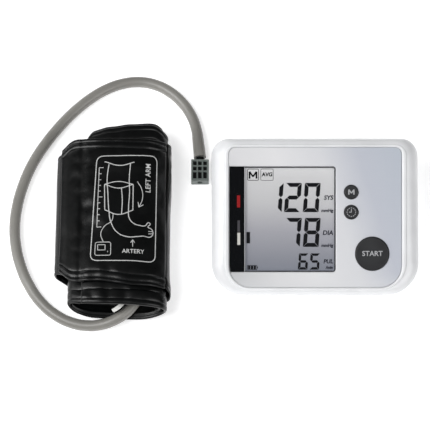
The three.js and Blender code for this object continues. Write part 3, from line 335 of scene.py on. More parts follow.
finishes = {
    "housing": mouldedPlastic("housing_white", (235, 236, 238), (242, 243, 245), 0.34,
                              coat_weight=0.3, coat_roughness=0.2),
    "silver": satinSilver(),
    "clear": clearPlastic(),
    "film": glossyFilm(),
    "glass": displayGlass(),
    "ink": printAndShadeTint("display_ink", (12, 12, 16), 0.4, specular_ior_level=0.1),
    "faintInk": printAndShadeTint("display_faint_ink", (46, 47, 57), 0.4, specular_ior_level=0.15),
    "red": printAndShadeTint("scale_red", (166, 14, 16), specular_ior_level=0.2),
    "white": printAndShadeTint("scale_white", (226, 224, 218)),
    "grey": printAndShadeTint("scale_grey", (62, 60, 66)),
    "lettering": printAndShadeTint("button_lettering", (186, 187, 190)),
    # painted shade: the dark line round the display
    "edge": printAndShadeTint("window_edge", (34, 35, 42), 0.3),
    "button": mouldedPlastic("button_grey", (36, 36, 38), (46, 47, 49), 0.4,
                             specular_ior_level=0.3),
    "blackPlastic": mouldedPlastic("black_plastic", (24, 25, 27), (34, 35, 37), 0.45),
    "cream": mouldedPlastic("cream_plastic", (216, 210, 192), (226, 220, 203), 0.45),
    "whitePlastic": mouldedPlastic("white_plastic", (228, 230, 232), (238, 239, 241), 0.4),
    "rubber": mouldedPlastic("foot_rubber", (48, 50, 53), (60, 62, 65), 0.85, 1600, 0.00006),
    "darkRubber": mouldedPlastic("dark_rubber", (26, 26, 28), (36, 36, 38), 0.8, 1600, 0.00006),
    "matRubber": mouldedPlastic("mat_rubber", (150, 152, 156), (166, 168, 172), 0.75, 1200,
                                0.00005),
    "tube": mouldedPlastic("clear_tube", (206, 210, 212), (222, 226, 228), 0.3, coat_weight=0.4),
    "bladder": mouldedPlastic("bladder_rubber", (54, 52, 50), (66, 63, 60), 0.7, 900, 0.00008),
    "cell": mouldedPlastic("cell_jacket", (62, 68, 82), (72, 78, 94), 0.28, coat_weight=0.5),
    "steel": metal("screw_steel", (176, 178, 182), 0.3),
    "contact": metal("contact_steel", (196, 192, 182), 0.28),
    "motor": metal("motor_can", (168, 170, 174), 0.35),
    "board": circuitBoard(),
    "nylon": coatedNylon(),
    "loopTape": closureCloth("loop_tape", (14, 14, 16), (34, 34, 37), 900),
    "hookTape": closureCloth("hook_tape", (10, 10, 11), (28, 28, 30), 700),
    "thread": printAndShadeTint("seam_thread", (34, 37, 38), 0.7, specular_ior_level=0.2),
    "printWhite": printAndShadeTint("cuff_print", (214, 215, 214), 0.6),
    "label": labelTape(),
    "vinyl": hoseVinyl(),
    "plug": mouldedPlastic("plug_grey", (104, 112, 109), (118, 126, 122), 0.5),
    # near-black: the ribbed neck, and painted shade on the plug's recess floors
    "recess": mouldedPlastic("plug_recess", (8, 9, 9), (14, 16, 16), 0.8, specular_ior_level=0.2),
}
print("finishes ready:", len(finishes))


# Camera at the photograph's angle, for a square picture

camera = {
    "place": (-16.87, -679.7, 1708.0),
    "target": (-16.87, -5.41, 39.04),
    "lens": 192.95,
    "sensor": 36,
}


def placed(name, data):
    # A new object in the scene
    made = bpy.data.objects.new(name, data)
    scene.collection.objects.link(made)
    return made


def aim(piece, place, target):
    # Turns a camera or a lamp from its place to a target, both in metres
    piece.location = place
    piece.rotation_euler = (Vector(target) - Vector(place)).to_track_quat("-Z", "Y").to_euler()


def placeCamera():
    place, target = (Vector(camera[name]) * mm for name in ("place", "target"))
    data = bpy.data.cameras.new("photo_view")
    data.lens = camera["lens"]
    data.sensor_width = camera["sensor"]
    data.clip_start = 0.05
    scene.camera = placed("photo_view", data)
    aim(scene.camera, place, target)


placeCamera()


# Mesh helpers

def shifted(x, y, z):
    return Matrix.Translation(Vector((x, y, z)) * mm)


def rotated(degrees, axis):
    return Matrix.Rotation(math.radians(degrees), 4, axis)


def meshOf(bm, name="helper"):
    mesh = bpy.data.meshes.new(name)
    bm.to_mesh(mesh)
    bm.free()
    return mesh


def evaluatedMesh(piece):
    # A mesh of the object with its modifiers, or its curve's thickness, applied
    bpy.context.view_layer.update()
    graph = bpy.context.evaluated_depsgraph_get()
    return bpy.data.meshes.new_from_object(piece.evaluated_get(graph))


def record(bm, name, finish, body, place=Matrix(), **details):
    # Makes the finished mesh a piece that rides on a body
    mesh = meshOf(bm, name)
    mesh.transform(place)
    return recordMesh(mesh, name, finish, body, **details)


def recordMesh(mesh, name, finish, body, sharp=35, replaced=(), slot=None):
    piece = placed(name, mesh)
    mesh.materials.append(finishes[finish].material)
    smoothFaces(mesh, sharp)
    if body:
        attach(piece, body)
    if replaced:
        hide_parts(*replaced)
    return piece


def smoothFaces(mesh, sharp):
    for face in mesh.polygons:
        face.use_smooth = True
    mesh.set_sharp_from_angle(angle=math.radians(sharp))


def settle(piece, sharp=35):
    # Applies the modifiers that a piece has so far
    mesh = evaluatedMesh(piece)
    mesh.name = piece.name
    piece.modifiers.clear()
    piece.data = mesh
    smoothFaces(mesh, sharp)


def joinInto(bm, mesh):
    bm.from_mesh(mesh)
    bpy.data.meshes.remove(mesh)


def holder(bm):
    # An object that only lends its shape to a cut
    return placed("helper", meshOf(bm))


def sliced(bm, point, normal, near=1e-7, **dropped):
    bmesh.ops.bisect_plane(bm, geom=bm.verts[:] + bm.edges[:] + bm.faces[:], dist=near,
                           plane_co=point, plane_no=normal, **dropped)


def cutOut(piece, cutters, sharp=35):
    for cutter in cutters:
        modifier = piece.modifiers.new("opening", "BOOLEAN")
        modifier.operation = "DIFFERENCE"
        modifier.solver = "EXACT"
        modifier.object = cutter
    settle(piece, sharp)
    for cutter in cutters:
        bpy.data.objects.remove(cutter)


def roundEdges(piece, width, segments=2, angle=40):
    modifier = piece.modifiers.new("rounded", "BEVEL")
    modifier.width = width * mm
    modifier.segments = segments
    modifier.limit_method = "ANGLE"
    modifier.angle_limit = math.radians(angle)
    modifier.use_clamp_overlap = True


def block(bm, low, high, place=Matrix()):
    # An upright box between two corners, in millimetres
    low, high = Vector(low) * mm, Vector(high) * mm
    size = Matrix.Diagonal((*(high - low), 1))
    matrix = place @ Matrix.Translation((low + high) / 2) @ size
    return bmesh.ops.create_cube(bm, size=1, matrix=matrix)["verts"]


def turned(profile, steps=48):
    # A turned piece about +Z from radius and height pairs, in millimetres
    bm = bmesh.new()
    line = [bm.verts.new((radius * mm, 0, height * mm)) for radius, height in profile]
    edges = [bm.edges.new(pair) for pair in zip(line, line[1:])]
    bmesh.ops.spin(bm, geom=line + edges, cent=(0, 0, 0), axis=(0, 0, 1), angle=2 * math.pi,
                   steps=steps, use_merge=True, use_duplicate=False)
    bmesh.ops.remove_doubles(bm, verts=bm.verts, dist=1e-7)
    bmesh.ops.recalc_face_normals(bm, faces=bm.faces)
    return bm


def roundedOutline(bm, corners, radii, steps):
    # A flat face at height 0 whose corners are round, in metres
    kept = set(bm.verts)
    verts = [bm.verts.new((x, y, 0)) for x, y in corners]
    bm.faces.new(verts)
    for vert, radius in zip(verts, radii):
        if radius:
            bmesh.ops.bevel(bm, geom=[vert], offset=radius, offset_type="OFFSET", segments=steps,
                            profile=0.5, affect="VERTICES", material=-1)
    return [vert for vert in bm.verts if vert not in kept]


def outlineLoop(bm, corners, radii, steps, place):
    # The same as a loop of edges without its face, laid in its plane
    verts = roundedOutline(bm, corners, radii, steps)
    made = set(verts)
    edges = [edge for edge in bm.edges if edge.verts[0] in made]
    faces = [face for face in bm.faces if face.verts[0] in made]
    bmesh.ops.delete(bm, geom=faces, context="FACES_ONLY")
    bmesh.ops.transform(bm, matrix=place, verts=verts)
    return edges


def thicken(bm, faces, depth):
    # Draws flat faces down by a depth and closes the solid
    made = bmesh.ops.extrude_face_region(bm, geom=faces, use_keep_orig=True)["geom"]
    verts = [item for item in made if isinstance(item, bmesh.types.BMVert)]
    bmesh.ops.translate(bm, verts=verts, vec=(0, 0, -depth))
    bmesh.ops.recalc_face_normals(bm, faces=bm.faces)


def blend(low, high, share):
    return low + (high - low) * share


def smoothStep(value, low, high):
    share = min(max((value - low) / (high - low), 0), 1)
    return share * share * (3 - 2 * share)


def lineAt(points, value):
    # The height of a smooth line through points, level beyond its ends
    for (x0, y0), (x1, y1) in zip(points, points[1:]):
        if value < x1:
            return blend(y0, y1, smoothStep(value, x0, x1))
    return points[-1][1]


# The air hose, one open loop round the cuff, with its plug

hose = {
    "radius": 4.4,
    "flare": 1.16,
    "flareLength": 26,
    "diameter": 8.8,
    "route": [
        (-72.5, -50.5, 12.3), (-75.6, -60.4, 11.9), (-80.2, -69.3, 11.5), (-86.7, -76.6, 10.9),
        (-95.4, -81.8, 9.2), (-105.7, -84.7, 6.8), (-117.4, -85, 5.2), (-129.7, -82.2, 4.6),
        (-142, -75.8, 4.5), (-153.3, -65.7, 4.5), (-162.9, -51.8, 4.5), (-170.2, -35.4, 4.5),
        (-174.7, -17.8, 4.5), (-176.1, -0.1, 4.5), (-174.6, 16.6, 4.5), (-171.2, 31.9, 4.5),
        (-166.4, 46.1, 4.5), (-160.2, 59.4, 4.5), (-152.7, 71.8, 4.5), (-144.4, 83.4, 4.5),
        (-135.7, 94, 4.5), (-126.5, 103.3, 4.5), (-116.5, 111.7, 4.5), (-105.2, 118.9, 4.5),
        (-92.4, 123.9, 4.5), (-78.7, 125.5, 4.5), (-65.5, 123, 4.5), (-53.6, 116.6, 4.5),
        (-43.7, 107.3, 4.5), (-36.3, 95.9, 4.5), (-31.9, 83.3, 4.6), (-30.2, 70.6, 4.8),
        (-28.9, 58.1, 5),
    ],
}
plug = {
    "size": (14.2, 18.8, 8.4),
    "rows": (3.5, 3.5, 5.8),
    "columns": 3,
    "recessWidth": 3,
    "recessDepth": 1.6,
    "firstRecess": 1.6,
    "rib": 1.1,
    "neckRadius": 3.2,
    "neckLength": 2.7,
    "boreRadius": 2,
    "boreDepth": 5,
    "edge": 0.4,
}


def makeHose():
    route = [Vector(point) * mm for point in hose["route"]]
    data = bpy.data.curves.new("air_hose", "CURVE")
    data.dimensions = "3D"
    data.resolution_u = 6
    data.bevel_depth = hose["radius"] * mm
    data.bevel_resolution = 5
    data.use_fill_caps = True
    line = data.splines.new("BEZIER")
    line.bezier_points.add(len(route) - 1)
    for point, place in zip(line.bezier_points, route):
        point.co = place
        point.handle_left_type = point.handle_right_type = "AUTO"
        away = (route[-1] - place).length / mm
        point.radius = 1 + (hose["flare"] - 1) * (1 - smoothStep(away, 3, hose["flareLength"]))
    data.materials.append(finishes["vinyl"].material)
    piece = placed("air_hose", data)
    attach(piece, "cuff")
    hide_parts("hose")
    return piece, route


def plugBoxes(back, low, high, inset=0.0):
    # A box in the place of each recess in the plug's top, between two heights
    bm = bmesh.new()
    half = plug["recessWidth"] / 2 - inset
    rowBack = back - plug["firstRecess"]
    for rowLength in plug["rows"]:
        for k in range(plug["columns"]):
            column = (k - (plug["columns"] - 1) / 2) * (plug["recessWidth"] + plug["rib"])
            middle = hose["route"][-1][0] + column
            block(bm, (middle - half, rowBack - rowLength + inset, low),
                  (middle + half, rowBack - inset, high))
        rowBack -= rowLength + plug["rib"]
    return bm


def makePlug():
    x, hoseEnd, axisHeight = hose["route"][-1]
    back = hoseEnd - plug["neckLength"]
    width, length, height = plug["size"]
    bottom = height - plug["recessDepth"]
    bm = bmesh.new()
    block(bm, (x - width / 2, back - length, 0), (x + width / 2, back, height))
    body = record(bm, "hose_plug_body", "plug", "cuff", replaced=["hose_plug"], slot="plug_grey")
    radius, depth = plug["boreRadius"], plug["boreDepth"]
    bore = turned([(0, -1), (radius, -1), (radius, depth), (0, depth)], 24)
    turn = shifted(x, back - length, height / 2) @ rotated(-90, "X")
    bmesh.ops.transform(bore, matrix=turn, verts=bore.verts)
    cutOut(body, [holder(plugBoxes(back, bottom, height + 1)), holder(bore)])
    roundEdges(body, plug["edge"], 3)
    # near-black slabs on the recess floors: painted shade in the recesses
    floors = plugBoxes(back, bottom - 0.05, bottom + 0.15, 0.15)
    floor = record(floors, "hose_plug_recess_shade", "recess", "cuff", replaced=["hose_plug"],
                   slot="plug_grey")
    # ribbed neck between plug and hose
    outer, inner = plug["neckRadius"], plug["neckRadius"] - 0.5
    profile = [(0, 0)]
    for k in range(4):
        start = k * plug["neckLength"] / 4
        profile += [(inner, start), (outer, start + 0.15), (outer, start + 0.45),
                    (inner, start + 0.6)]
    neck = turned(profile + [(0, plug["neckLength"] - 0.02)], 32)
    turn = shifted(x, back, axisHeight) @ rotated(-90, "X")
    collar = record(neck, "hose_plug_neck", "recess", "cuff", place=turn, replaced=["hose_plug"],
                    slot="plug_grey")
    return [body, floor, collar]


hosePiece, hoseLine = makeHose()
plugPieces = makePlug()


# Console housing

console = {
    "place": (61.5, -6.5, 0),
    "wall": 2.2,
    "baseFront": (-49.5, 5.0),
    "baseBack": (55.5, 5.0),
    "baseHalf": 76,
    "baseRadii": (21, 10),
    "waistFront": (-55, 10),
    "waistBack": (62, 45),
    "waistHalf": 81.3,
    "waistRadii": (26, 13),
    "partingFront": 8.5,
    "partingBack": 26,
    "gap": 0.3,
    "shoulderSteps": 12,
    "cornerSteps": 12,
}
panel = {
    "tilt": 22,
    "height": 38.6,
    "rimV": (-57.4, 56.6),
    "rimHalf": 71.6,
    "rimRadii": (21.3, 9.3),
    "pocketV": (-55.6, 54.2),
    "pocketHalf": 67.6,
    "pocketRadii": (17.3, 5.3),
    # how far from rim to pocket, and how deep below the crest
    "bead": [(0.05, 0.72), (0.16, 0.3), (0.32, 0.07), (0.52, 0), (0.72, 0.08), (0.88, 0.32),
             (0.98, 0.75), (1, 1.2), (1, 1.9)],
    "deckBottom": 4.9,
}
consolePlace = shifted(*console["place"])
panelPlace = consolePlace @ shifted(0, 0, panel["height"]) @ rotated(panel["tilt"], "X")


def ring(front, back, half, radii):
    return {"front": Vector(front), "back": Vector(back), "half": half, "radii": Vector(radii)}


def panelRing(share, depth):
    tilt = math.radians(panel["tilt"])
    ends = []
    for k in (0, 1):
        v = blend(panel["rimV"][k], panel["pocketV"][k], share)
        y = v * math.cos(tilt) + depth * math.sin(tilt)
        ends.append((y, panel["height"] + v * math.sin(tilt) - depth * math.cos(tilt)))
    radii = [blend(a, b, share) for a, b in zip(panel["rimRadii"], panel["pocketRadii"])]
    return ring(*ends, blend(panel["rimHalf"], panel["pocketHalf"], share), radii)


def betweenRings(low, high, across, up):
    def mixed(a, b):
        return (blend(a[0], b[0], across), blend(a[1], b[1], up))
    radii = low["radii"].lerp(high["radii"], across)
    return ring(mixed(low["front"], high["front"]), mixed(low["back"], high["back"]),
                blend(low["half"], high["half"], across), radii)


def insetRing(outer, amount):
    step = (outer["back"] - outer["front"]).normalized() * amount
    return ring(outer["front"] + step, outer["back"] - step, outer["half"] - amount,
                outer["radii"] - Vector((amount, amount)))


def drawRing(bm, outer):
    front, back = (Vector((0, *outer[end])) * mm for end in ("front", "back"))
    across, upwards = Vector((1, 0, 0)), (back - front).normalized()
    plane = Matrix((across, upwards, across.cross(upwards))).transposed().to_4x4()
    plane.translation = front
    half, length = outer["half"] * mm, (back - front).length
    corners = [(-half, 0), (half, 0), (half, length), (-half, length)]
    low, high = (radius * mm for radius in outer["radii"])
    return outlineLoop(bm, corners, [low, low, high, high], console["cornerSteps"],
                       consolePlace @ plane)


def shellRings():
    base, waist = (ring(*(console[name + part] for part in ("Front", "Back", "Half", "Radii")))
                   for name in ("base", "waist"))
    rim = panelRing(0, 1.2)
    shoulder = []
    for step in range(1, console["shoulderSteps"] + 1):
        angle = step / console["shoulderSteps"] * math.pi / 2
        shoulder.append(betweenRings(waist, rim, 1 - math.cos(angle), math.sin(angle)))
    return [base, waist, *shoulder]


def onPlane(edges, point, normal):
    return [edge for edge in edges
            if all(abs((vert.co - point).dot(normal)) < 1e-6 for vert in edge.verts)]


def makeUpperCase():
    bm = bmesh.new()
    rings = shellRings()
    # inner wall up to the underside of the deck
    inner = [drawRing(bm, insetRing(outer, console["wall"])) for outer in rings]
    for low, high in zip(inner, inner[1:]):
        bmesh.ops.bridge_loops(bm, edges=low + high)
    normal = panelPlace.to_3x3() @ Vector((0, 0, 1))
    underDeck = panelPlace @ Vector((0, 0, -panel["deckBottom"] * mm))
    sliced(bm, underDeck, normal, clear_outer=True)
    bmesh.ops.holes_fill(bm, edges=onPlane(bm.edges, underDeck, normal), sides=0)
    # outer wall, shoulder and bead, down to the pocket's floor
    outer = [drawRing(bm, each) for each in rings]
    outer += [drawRing(bm, panelRing(share, depth)) for share, depth in panel["bead"]]
    for low, high in zip(outer, outer[1:]):
        bmesh.ops.bridge_loops(bm, edges=low + high)
    bmesh.ops.holes_fill(bm, edges=outer[-1], sides=0)
    # everything below the parting plane goes, and its cut is closed
    run = console["waistBack"][0] - console["waistFront"][0]
    lean = math.atan2(console["partingBack"] - console["partingFront"], run)
    normal = Vector((0, -math.sin(lean), math.cos(lean)))
    point = consolePlace @ (Vector((0, console["waistFront"][0], console["partingFront"])) * mm)
    sliced(bm, point + normal * console["gap"] / 2 * mm, normal, clear_inner=True)
    bmesh.ops.triangle_fill(bm, edges=[edge for edge in bm.edges if edge.is_boundary],
                            use_beauty=True, use_dissolve=False)
    bmesh.ops.recalc_face_normals(bm, faces=bm.faces)
    piece = record(bm, "upper_housing", "housing", "console", replaced=["upper_case"],
                   slot="housing_white")
    cutters = [openingTool(front["filmDepth"]),
               openingTool(front["filmDepth"] + 0.6, front["stripRight"] + front["gap"]),
               displayTool(), roundTool(front["gap"], 3, -8)]
    margin = Vector((1, 1, 1)) * console["gap"]
    for node, outwards in (("air_socket", -1), ("adapter_jack", 1)):
        low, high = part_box(node)
        corners = [low / mm - margin, high / mm + margin]
        corners[max(outwards, 0)] += Vector((6 * outwards, 0, 0))  # out past the wall
        bm = bmesh.new()
        block(bm, *corners)
        cutters.append(holder(bm))
    cutOut(piece, cutters, 32)


# Front plate, window and display

front = {
    "half": 67.3,
    "bottom": -55.3,
    "top": 53.9,
    "bottomRadius": 17,
    "topRadius": 5,
    "depth": 0.4,
    "thickness": 1.2,
    "windowRight": 16.2,
    "windowBottom": -43.7,
    "windowTop": 39.4,
    "windowRadius": 2.5,
    "windowDepth": 0.6,
    "windowThickness": 1.8,
    "displayLeft": -54.9,
    "displayRight": 14.9,
    "displayBottom": -42.4,
    "displayTop": 38.1,
    "stripRight": -55.5,
    "filmDepth": 2.7,
    "glassDepth": 5.2,
    "edgeShadeDepth": 2.45,
    "gap": 0.3,
    "edge": 0.22,
    "windowEdge": 0.3,
}
buttons = [
    {"name": "start", "place": (44.5, -29.1), "radius": 13.1},
    {"name": "memory", "place": (28.1, 19.1), "radius": 5.45},
    {"name": "clock", "place": (28.1, 3.4), "radius": 5.45},
]


def plateOutline(bm, margin):
    half = front["half"] + margin
    low, high = front["bottom"] - margin, front["top"] + margin
    corners = [(-half, low), (half, low), (half, high), (-half, high)]
    radii = [(front[name] + margin) * mm for name in ("bottomRadius",) * 2 + ("topRadius",) * 2]
    roundedOutline(bm, [(x * mm, y * mm) for x, y in corners], radii, 10)


def cutAlong(bm, axis, value, side=0):
    # Cuts the flat outline at a line; side 1 or -1 drops what lies beyond it on that side
    direction = Vector((1, 0, 0)) if axis == "u" else Vector((0, 1, 0))
    sliced(bm, direction * value * mm, direction, 1e-8, clear_outer=side > 0, clear_inner=side < 0)


def dropInside(bm, right, bottom, top):
    # Takes out the faces left of a line and between two heights
    inside = [face for face in bm.faces
              if bottom * mm < face.calc_center_median().y < top * mm
              and face.calc_center_median().x < right * mm]
    bmesh.ops.delete(bm, geom=inside, context="FACES")


def windowOutline(bm, margin, plateMargin):
    plateOutline(bm, plateMargin)
    cutAlong(bm, "v", front["windowTop"] + margin, 1)
    cutAlong(bm, "v", front["windowBottom"] - margin, -1)
    cutAlong(bm, "u", front["windowRight"] + margin, 1)
    roundWindowCorners(bm, margin)


def roundWindowCorners(bm, margin):
    right = (front["windowRight"] + margin) * mm
    for v in (front["windowTop"] + margin, front["windowBottom"] - margin):
        corner = Vector((right, v * mm, 0))
        for vert in [vert for vert in bm.verts if (vert.co - corner).length < 1e-6]:
            bmesh.ops.bevel(bm, geom=[vert], offset=(front["windowRadius"] + margin) * mm,
                            offset_type="OFFSET", segments=6, profile=0.5, affect="VERTICES",
                            material=-1)


def openingTool(depth, right=None):
    # Cuts the window's opening to a depth, up to a line on its right where one is given
    bm = bmesh.new()
    windowOutline(bm, front["gap"], front["gap"] - 0.02)
    if right is not None:
        cutAlong(bm, "u", right, 1)
    bmesh.ops.translate(bm, verts=bm.verts, vec=(0, 0, -1 * mm))
    thicken(bm, bm.faces[:], (depth - 1) * mm)
    bmesh.ops.transform(bm, matrix=panelPlace, verts=bm.verts)
    return holder(bm)


def displayTool():
    bm = bmesh.new()
    low = (front["displayLeft"], front["displayBottom"], -8)
    block(bm, low, (front["displayRight"], front["displayTop"], -1), panelPlace)
    return holder(bm)


def roundTool(extra, top, bottom):
    # Cuts the buttons' holes
    bm = bmesh.new()
    for button in buttons:
        place = panelPlace @ shifted(*button["place"], (top + bottom) / 2)
        radius = (button["radius"] + extra) * mm
        bmesh.ops.create_cone(bm, cap_ends=True, segments=72, radius1=radius, radius2=radius,
                              depth=(top - bottom) * mm, matrix=place)
    return holder(bm)


def makeFrontPlate():
    bm = bmesh.new()
    plateOutline(bm, 0)
    for axis, name in (("v", "windowTop"), ("v", "windowBottom"), ("u", "windowRight")):
        cutAlong(bm, axis, front[name])
    dropInside(bm, front["windowRight"], front["windowBottom"], front["windowTop"])
    bmesh.ops.dissolve_faces(bm, faces=bm.faces)
    roundWindowCorners(bm, 0)
    thicken(bm, bm.faces[:], front["thickness"] * mm)
    place = panelPlace @ shifted(0, 0, -front["depth"])
    piece = record(bm, "front_plate", "silver", "console", place, replaced=["fascia"],
                   slot="silver_front")
    cutOut(piece, [roundTool(front["gap"], 3, -4)], 30)
    roundEdges(piece, front["edge"], 3, 50)


def makeWindow():
    bm = bmesh.new()
    windowOutline(bm, -front["gap"], -front["gap"])
    thicken(bm, bm.faces[:], front["windowThickness"] * mm)
    place = panelPlace @ shifted(0, 0, -front["windowDepth"])
    piece = record(bm, "clear_window", "clear", "console", place, replaced=["display_window"],
                   slot="clear_window")
    roundEdges(piece, front["windowEdge"], 3, 50)


def makeWindowEdge():
    # A dark line round the display, on the window's underside: painted shade along the edge of the
    # window's recess
    bm = bmesh.new()
    windowOutline(bm, -0.35, -0.35)
    cutAlong(bm, "u", front["stripRight"] + 0.3, -1)
    for axis, name in (("u", "displayRight"), ("v", "displayBottom"), ("v", "displayTop")):
        cutAlong(bm, axis, front[name])
    dropInside(bm, front["displayRight"], front["displayBottom"], front["displayTop"])
    thicken(bm, bm.faces[:], 0.1 * mm)
    place = panelPlace @ shifted(0, 0, -front["edgeShadeDepth"])
    record(bm, "window_edge_shade_line", "edge", "console", place, slot="black_film")


def panelBar(bm, left, right, bottom, top, depth, thickness=0.05):
    block(bm, (left, bottom, -depth), (right, top, -depth + thickness))


scaleMarks = {
    # finish: left, right, bottom, top
    "red": (-61.2, -58.7, 7.1, 16.5),
    "grey": (-60.8, -58.9, -11.9, -3.0),
    "white": (-60.9, -58.6, -22.2, -12.7),
}


def makeScaleMarks():
    for finish, sides in scaleMarks.items():
        bm = bmesh.new()
        panelBar(bm, *sides, front["filmDepth"], 0.06)
        record(bm, "scale_mark_" + finish, finish, "console", panelPlace, slot="black_film")


digits = {
    "slant": 0.075,
    "gap": 0.16,
    "segments": {"0": "abcdef", "1": "bc", "2": "abdeg", "5": "acdfg", "6": "acdefg", "7": "abc",
                 "8": "abcdefg"},
    # where each bar starts and ends in the digit's field, and which way its outer side faces
    "bars": {"a": ((0, 1), (1, 1), (0, 1)), "b": ((1, 0.5), (1, 1), (1, 0)),
             "c": ((1, 0), (1, 0.5), (1, 0)), "d": ((0, 0), (1, 0), (0, -1)),
             "e": ((0, 0), (0, 0.5), (-1, 0)), "f": ((0, 0.5), (0, 1), (-1, 0)),
             "g": ((0, 0.5), (1, 0.5), (0, 1))},
    # digit, middle across, bottom, top, width, stroke
    "rows": [("1", -31.5, 3.4, 26.3, 12.2, 3.1), ("2", -17.35, 3.4, 26.3, 12.3, 3.1),
             ("0", -2.6, 3.4, 26.3, 12.3, 3.1), ("7", -17.35, -23.8, -1.1, 12.3, 3.1),
             ("8", -2.6, -23.8, -1.1, 12.3, 3.1), ("6", -9.3, -41.6, -28.9, 7.5, 1.95),
             ("5", -0.2, -41.6, -28.9, 7.5, 1.95)],
}


def barEnd(place, away, out, half, mitred):
    # Points round one end of a bar, from its outer side to its inner one
    place = place - away * digits["gap"]
    if mitred:
        return [place + (away + out) * half, place - (away + out) * half]
    return [place - (away - out) * half, place, place - (away + out) * half]


def makeDigits():
    bm = bmesh.new()
    for figure, centre, bottom, top, width, bar in digits["rows"]:
        left, right = centre - width / 2 + bar / 2, centre + width / 2 - bar / 2
        low, high = bottom + bar / 2, top - bar / 2
        middle = (bottom + top) / 2
        for name in digits["segments"][figure]:
            *ends, out = digits["bars"][name]
            start, end = (Vector((blend(left, right, x), blend(low, high, y))) for x, y in ends)
            away, out = (end - start).normalized(), Vector(out)
            points = barEnd(end, away, out, bar / 2, ends[1][1] != 0.5)
            points += reversed(barEnd(start, -away, out, bar / 2, ends[0][1] != 0.5))
            bm.faces.new([bm.verts.new(((x + digits["slant"] * (y - middle)) * mm, y * mm, 0))
                          for x, y in points])
    thicken(bm, bm.faces[:], 0.05 * mm)
    place = panelPlace @ shifted(0, 0, 0.06 - front["glassDepth"])
    record(bm, "display_figures", "ink", "console", place, slot="display_glass")


def letteringMesh(words, size, weight=0, shear=0, align="CENTER"):
    font = bpy.data.curves.new("lettering", "FONT")
    font.body = words
    font.size = size * mm
    font.align_x = align
    font.align_y = "CENTER"
    font.offset = weight * mm
    font.extrude = 0.02 * mm
    font.resolution_u = 3
    font.shear = shear
    return curveMesh(font)


def curveMesh(data):
    # Turns a curve or lettering into a mesh and drops the curve
    made = placed("helper", data)
    mesh = evaluatedMesh(made)
    bpy.data.objects.remove(made)
    bpy.data.curves.remove(data)
    return mesh


def addLettering(bm, words, size, u, v, depth, **style):
    mesh = letteringMesh(words, size, **style)
    mesh.transform(panelPlace @ shifted(u, v, -depth))
    joinInto(bm, mesh)


def addM(bm, u, v, width, height, bar, thickness=0.04):
    # A broad M of four straight bars, on the panel's own plane
    place = shifted(u, v, 0)
    for side in (-1, 1):
        edge = side * (width - bar) / 2
        block(bm, (edge - bar / 2, -height / 2, 0), (edge + bar / 2, height / 2, thickness), place)
        foot = -height * 0.22
        lean = math.atan2(edge, height / 2 - foot)
        length = math.hypot(edge, height / 2 - foot)
        turn = place @ shifted(0, foot, 0) @ Matrix.Rotation(-lean, 4, "Z")
        block(bm, (-bar * 0.46, 0, 0), (bar * 0.46, length, thickness), turn)


def ringOutline(bm, left, right, bottom, top, radius, width, depth):
    # A thin rounded frame on the panel
    loops = []
    for inset in (0, width):
        corners = [(left + inset, bottom + inset), (right - inset, bottom + inset),
                   (right - inset, top - inset), (left + inset, top - inset)]
        corners = [(x * mm, y * mm) for x, y in corners]
        radii = [max(radius - inset, 0.1) * mm] * 4
        loops.append(outlineLoop(bm, corners, radii, 4, shifted(0, 0, -depth)))
    bmesh.ops.bridge_loops(bm, edges=loops[0] + loops[1])


displayMarks = {
    # left, right, bottom, top, corner radius and line width: two signs and the cell's case
    "frames": [(-53.1, -44.0, 28.1, 37.4, 1.2, 0.45), (-42.7, -32.6, 28.1, 37.4, 1.2, 0.35),
               (-53.1, -45.4, -41.8, -38.1, 0.4, 0.4)],
    # left, right, bottom, top: pointer, the cell's three bars and its cap
    "bars": [(-53.7, -50.9, -21.0, -12.1), (-52.5, -50.7, -41.3, -38.6),
             (-50.3, -48.5, -41.3, -38.6), (-48.1, -46.3, -41.3, -38.6),
             (-45.3, -44.8, -40.7, -39.2)],
    "memory": (-48.6, 32.4, 6.8, 5.4, 1.35),
    "average": (4.1, -37.6, 32.8),
    # words, height on the panel, size
    "labels": [("SYS", 14.6, 4.7), ("mmHg", 4.6, 3.4), ("DIA", -12.9, 4.9), ("mmHg", -22.7, 3.4),
               ("PUL", -35.3, 4.4), ("/min", -40.0, 3.2)],
    "labelRight": 14.0,
}


def makeDisplayMarks():
    depth = front["glassDepth"] - 0.05
    dark = bmesh.new()
    for frameSides in displayMarks["frames"]:
        ringOutline(dark, *frameSides, depth)
    for sides in displayMarks["bars"]:
        panelBar(dark, *sides, depth)
    letter = bmesh.new()
    addM(letter, *displayMarks["memory"])
    bmesh.ops.translate(letter, verts=letter.verts, vec=(0, 0, -depth * mm))
    joinInto(dark, meshOf(letter))
    bmesh.ops.transform(dark, matrix=panelPlace, verts=dark.verts)
    addLettering(dark, "AVG", *displayMarks["average"], depth, weight=0.17, shear=0.1)
    record(dark, "display_symbols", "ink", "console", slot="display_glass")
    faint = bmesh.new()
    for words, v, size in displayMarks["labels"]:
        addLettering(faint, words, size, displayMarks["labelRight"], v, depth, weight=0.15,
                     shear=0.15, align="RIGHT")
    record(faint, "display_labels", "faintInk", "console", slot="display_glass")


# Buttons, turned caps with a soft edge and printed marks

cap = {
    "rise": 0.9,
    "dish": 0.12,
    "edge": 0.8,
    "flange": 1.2,
    "flangeTop": 5.2,
    "flangeBottom": 6.4,
    "stemRadius": 2.2,
    "stemBottom": 7.0,
    "clockRadius": 3.1,
}


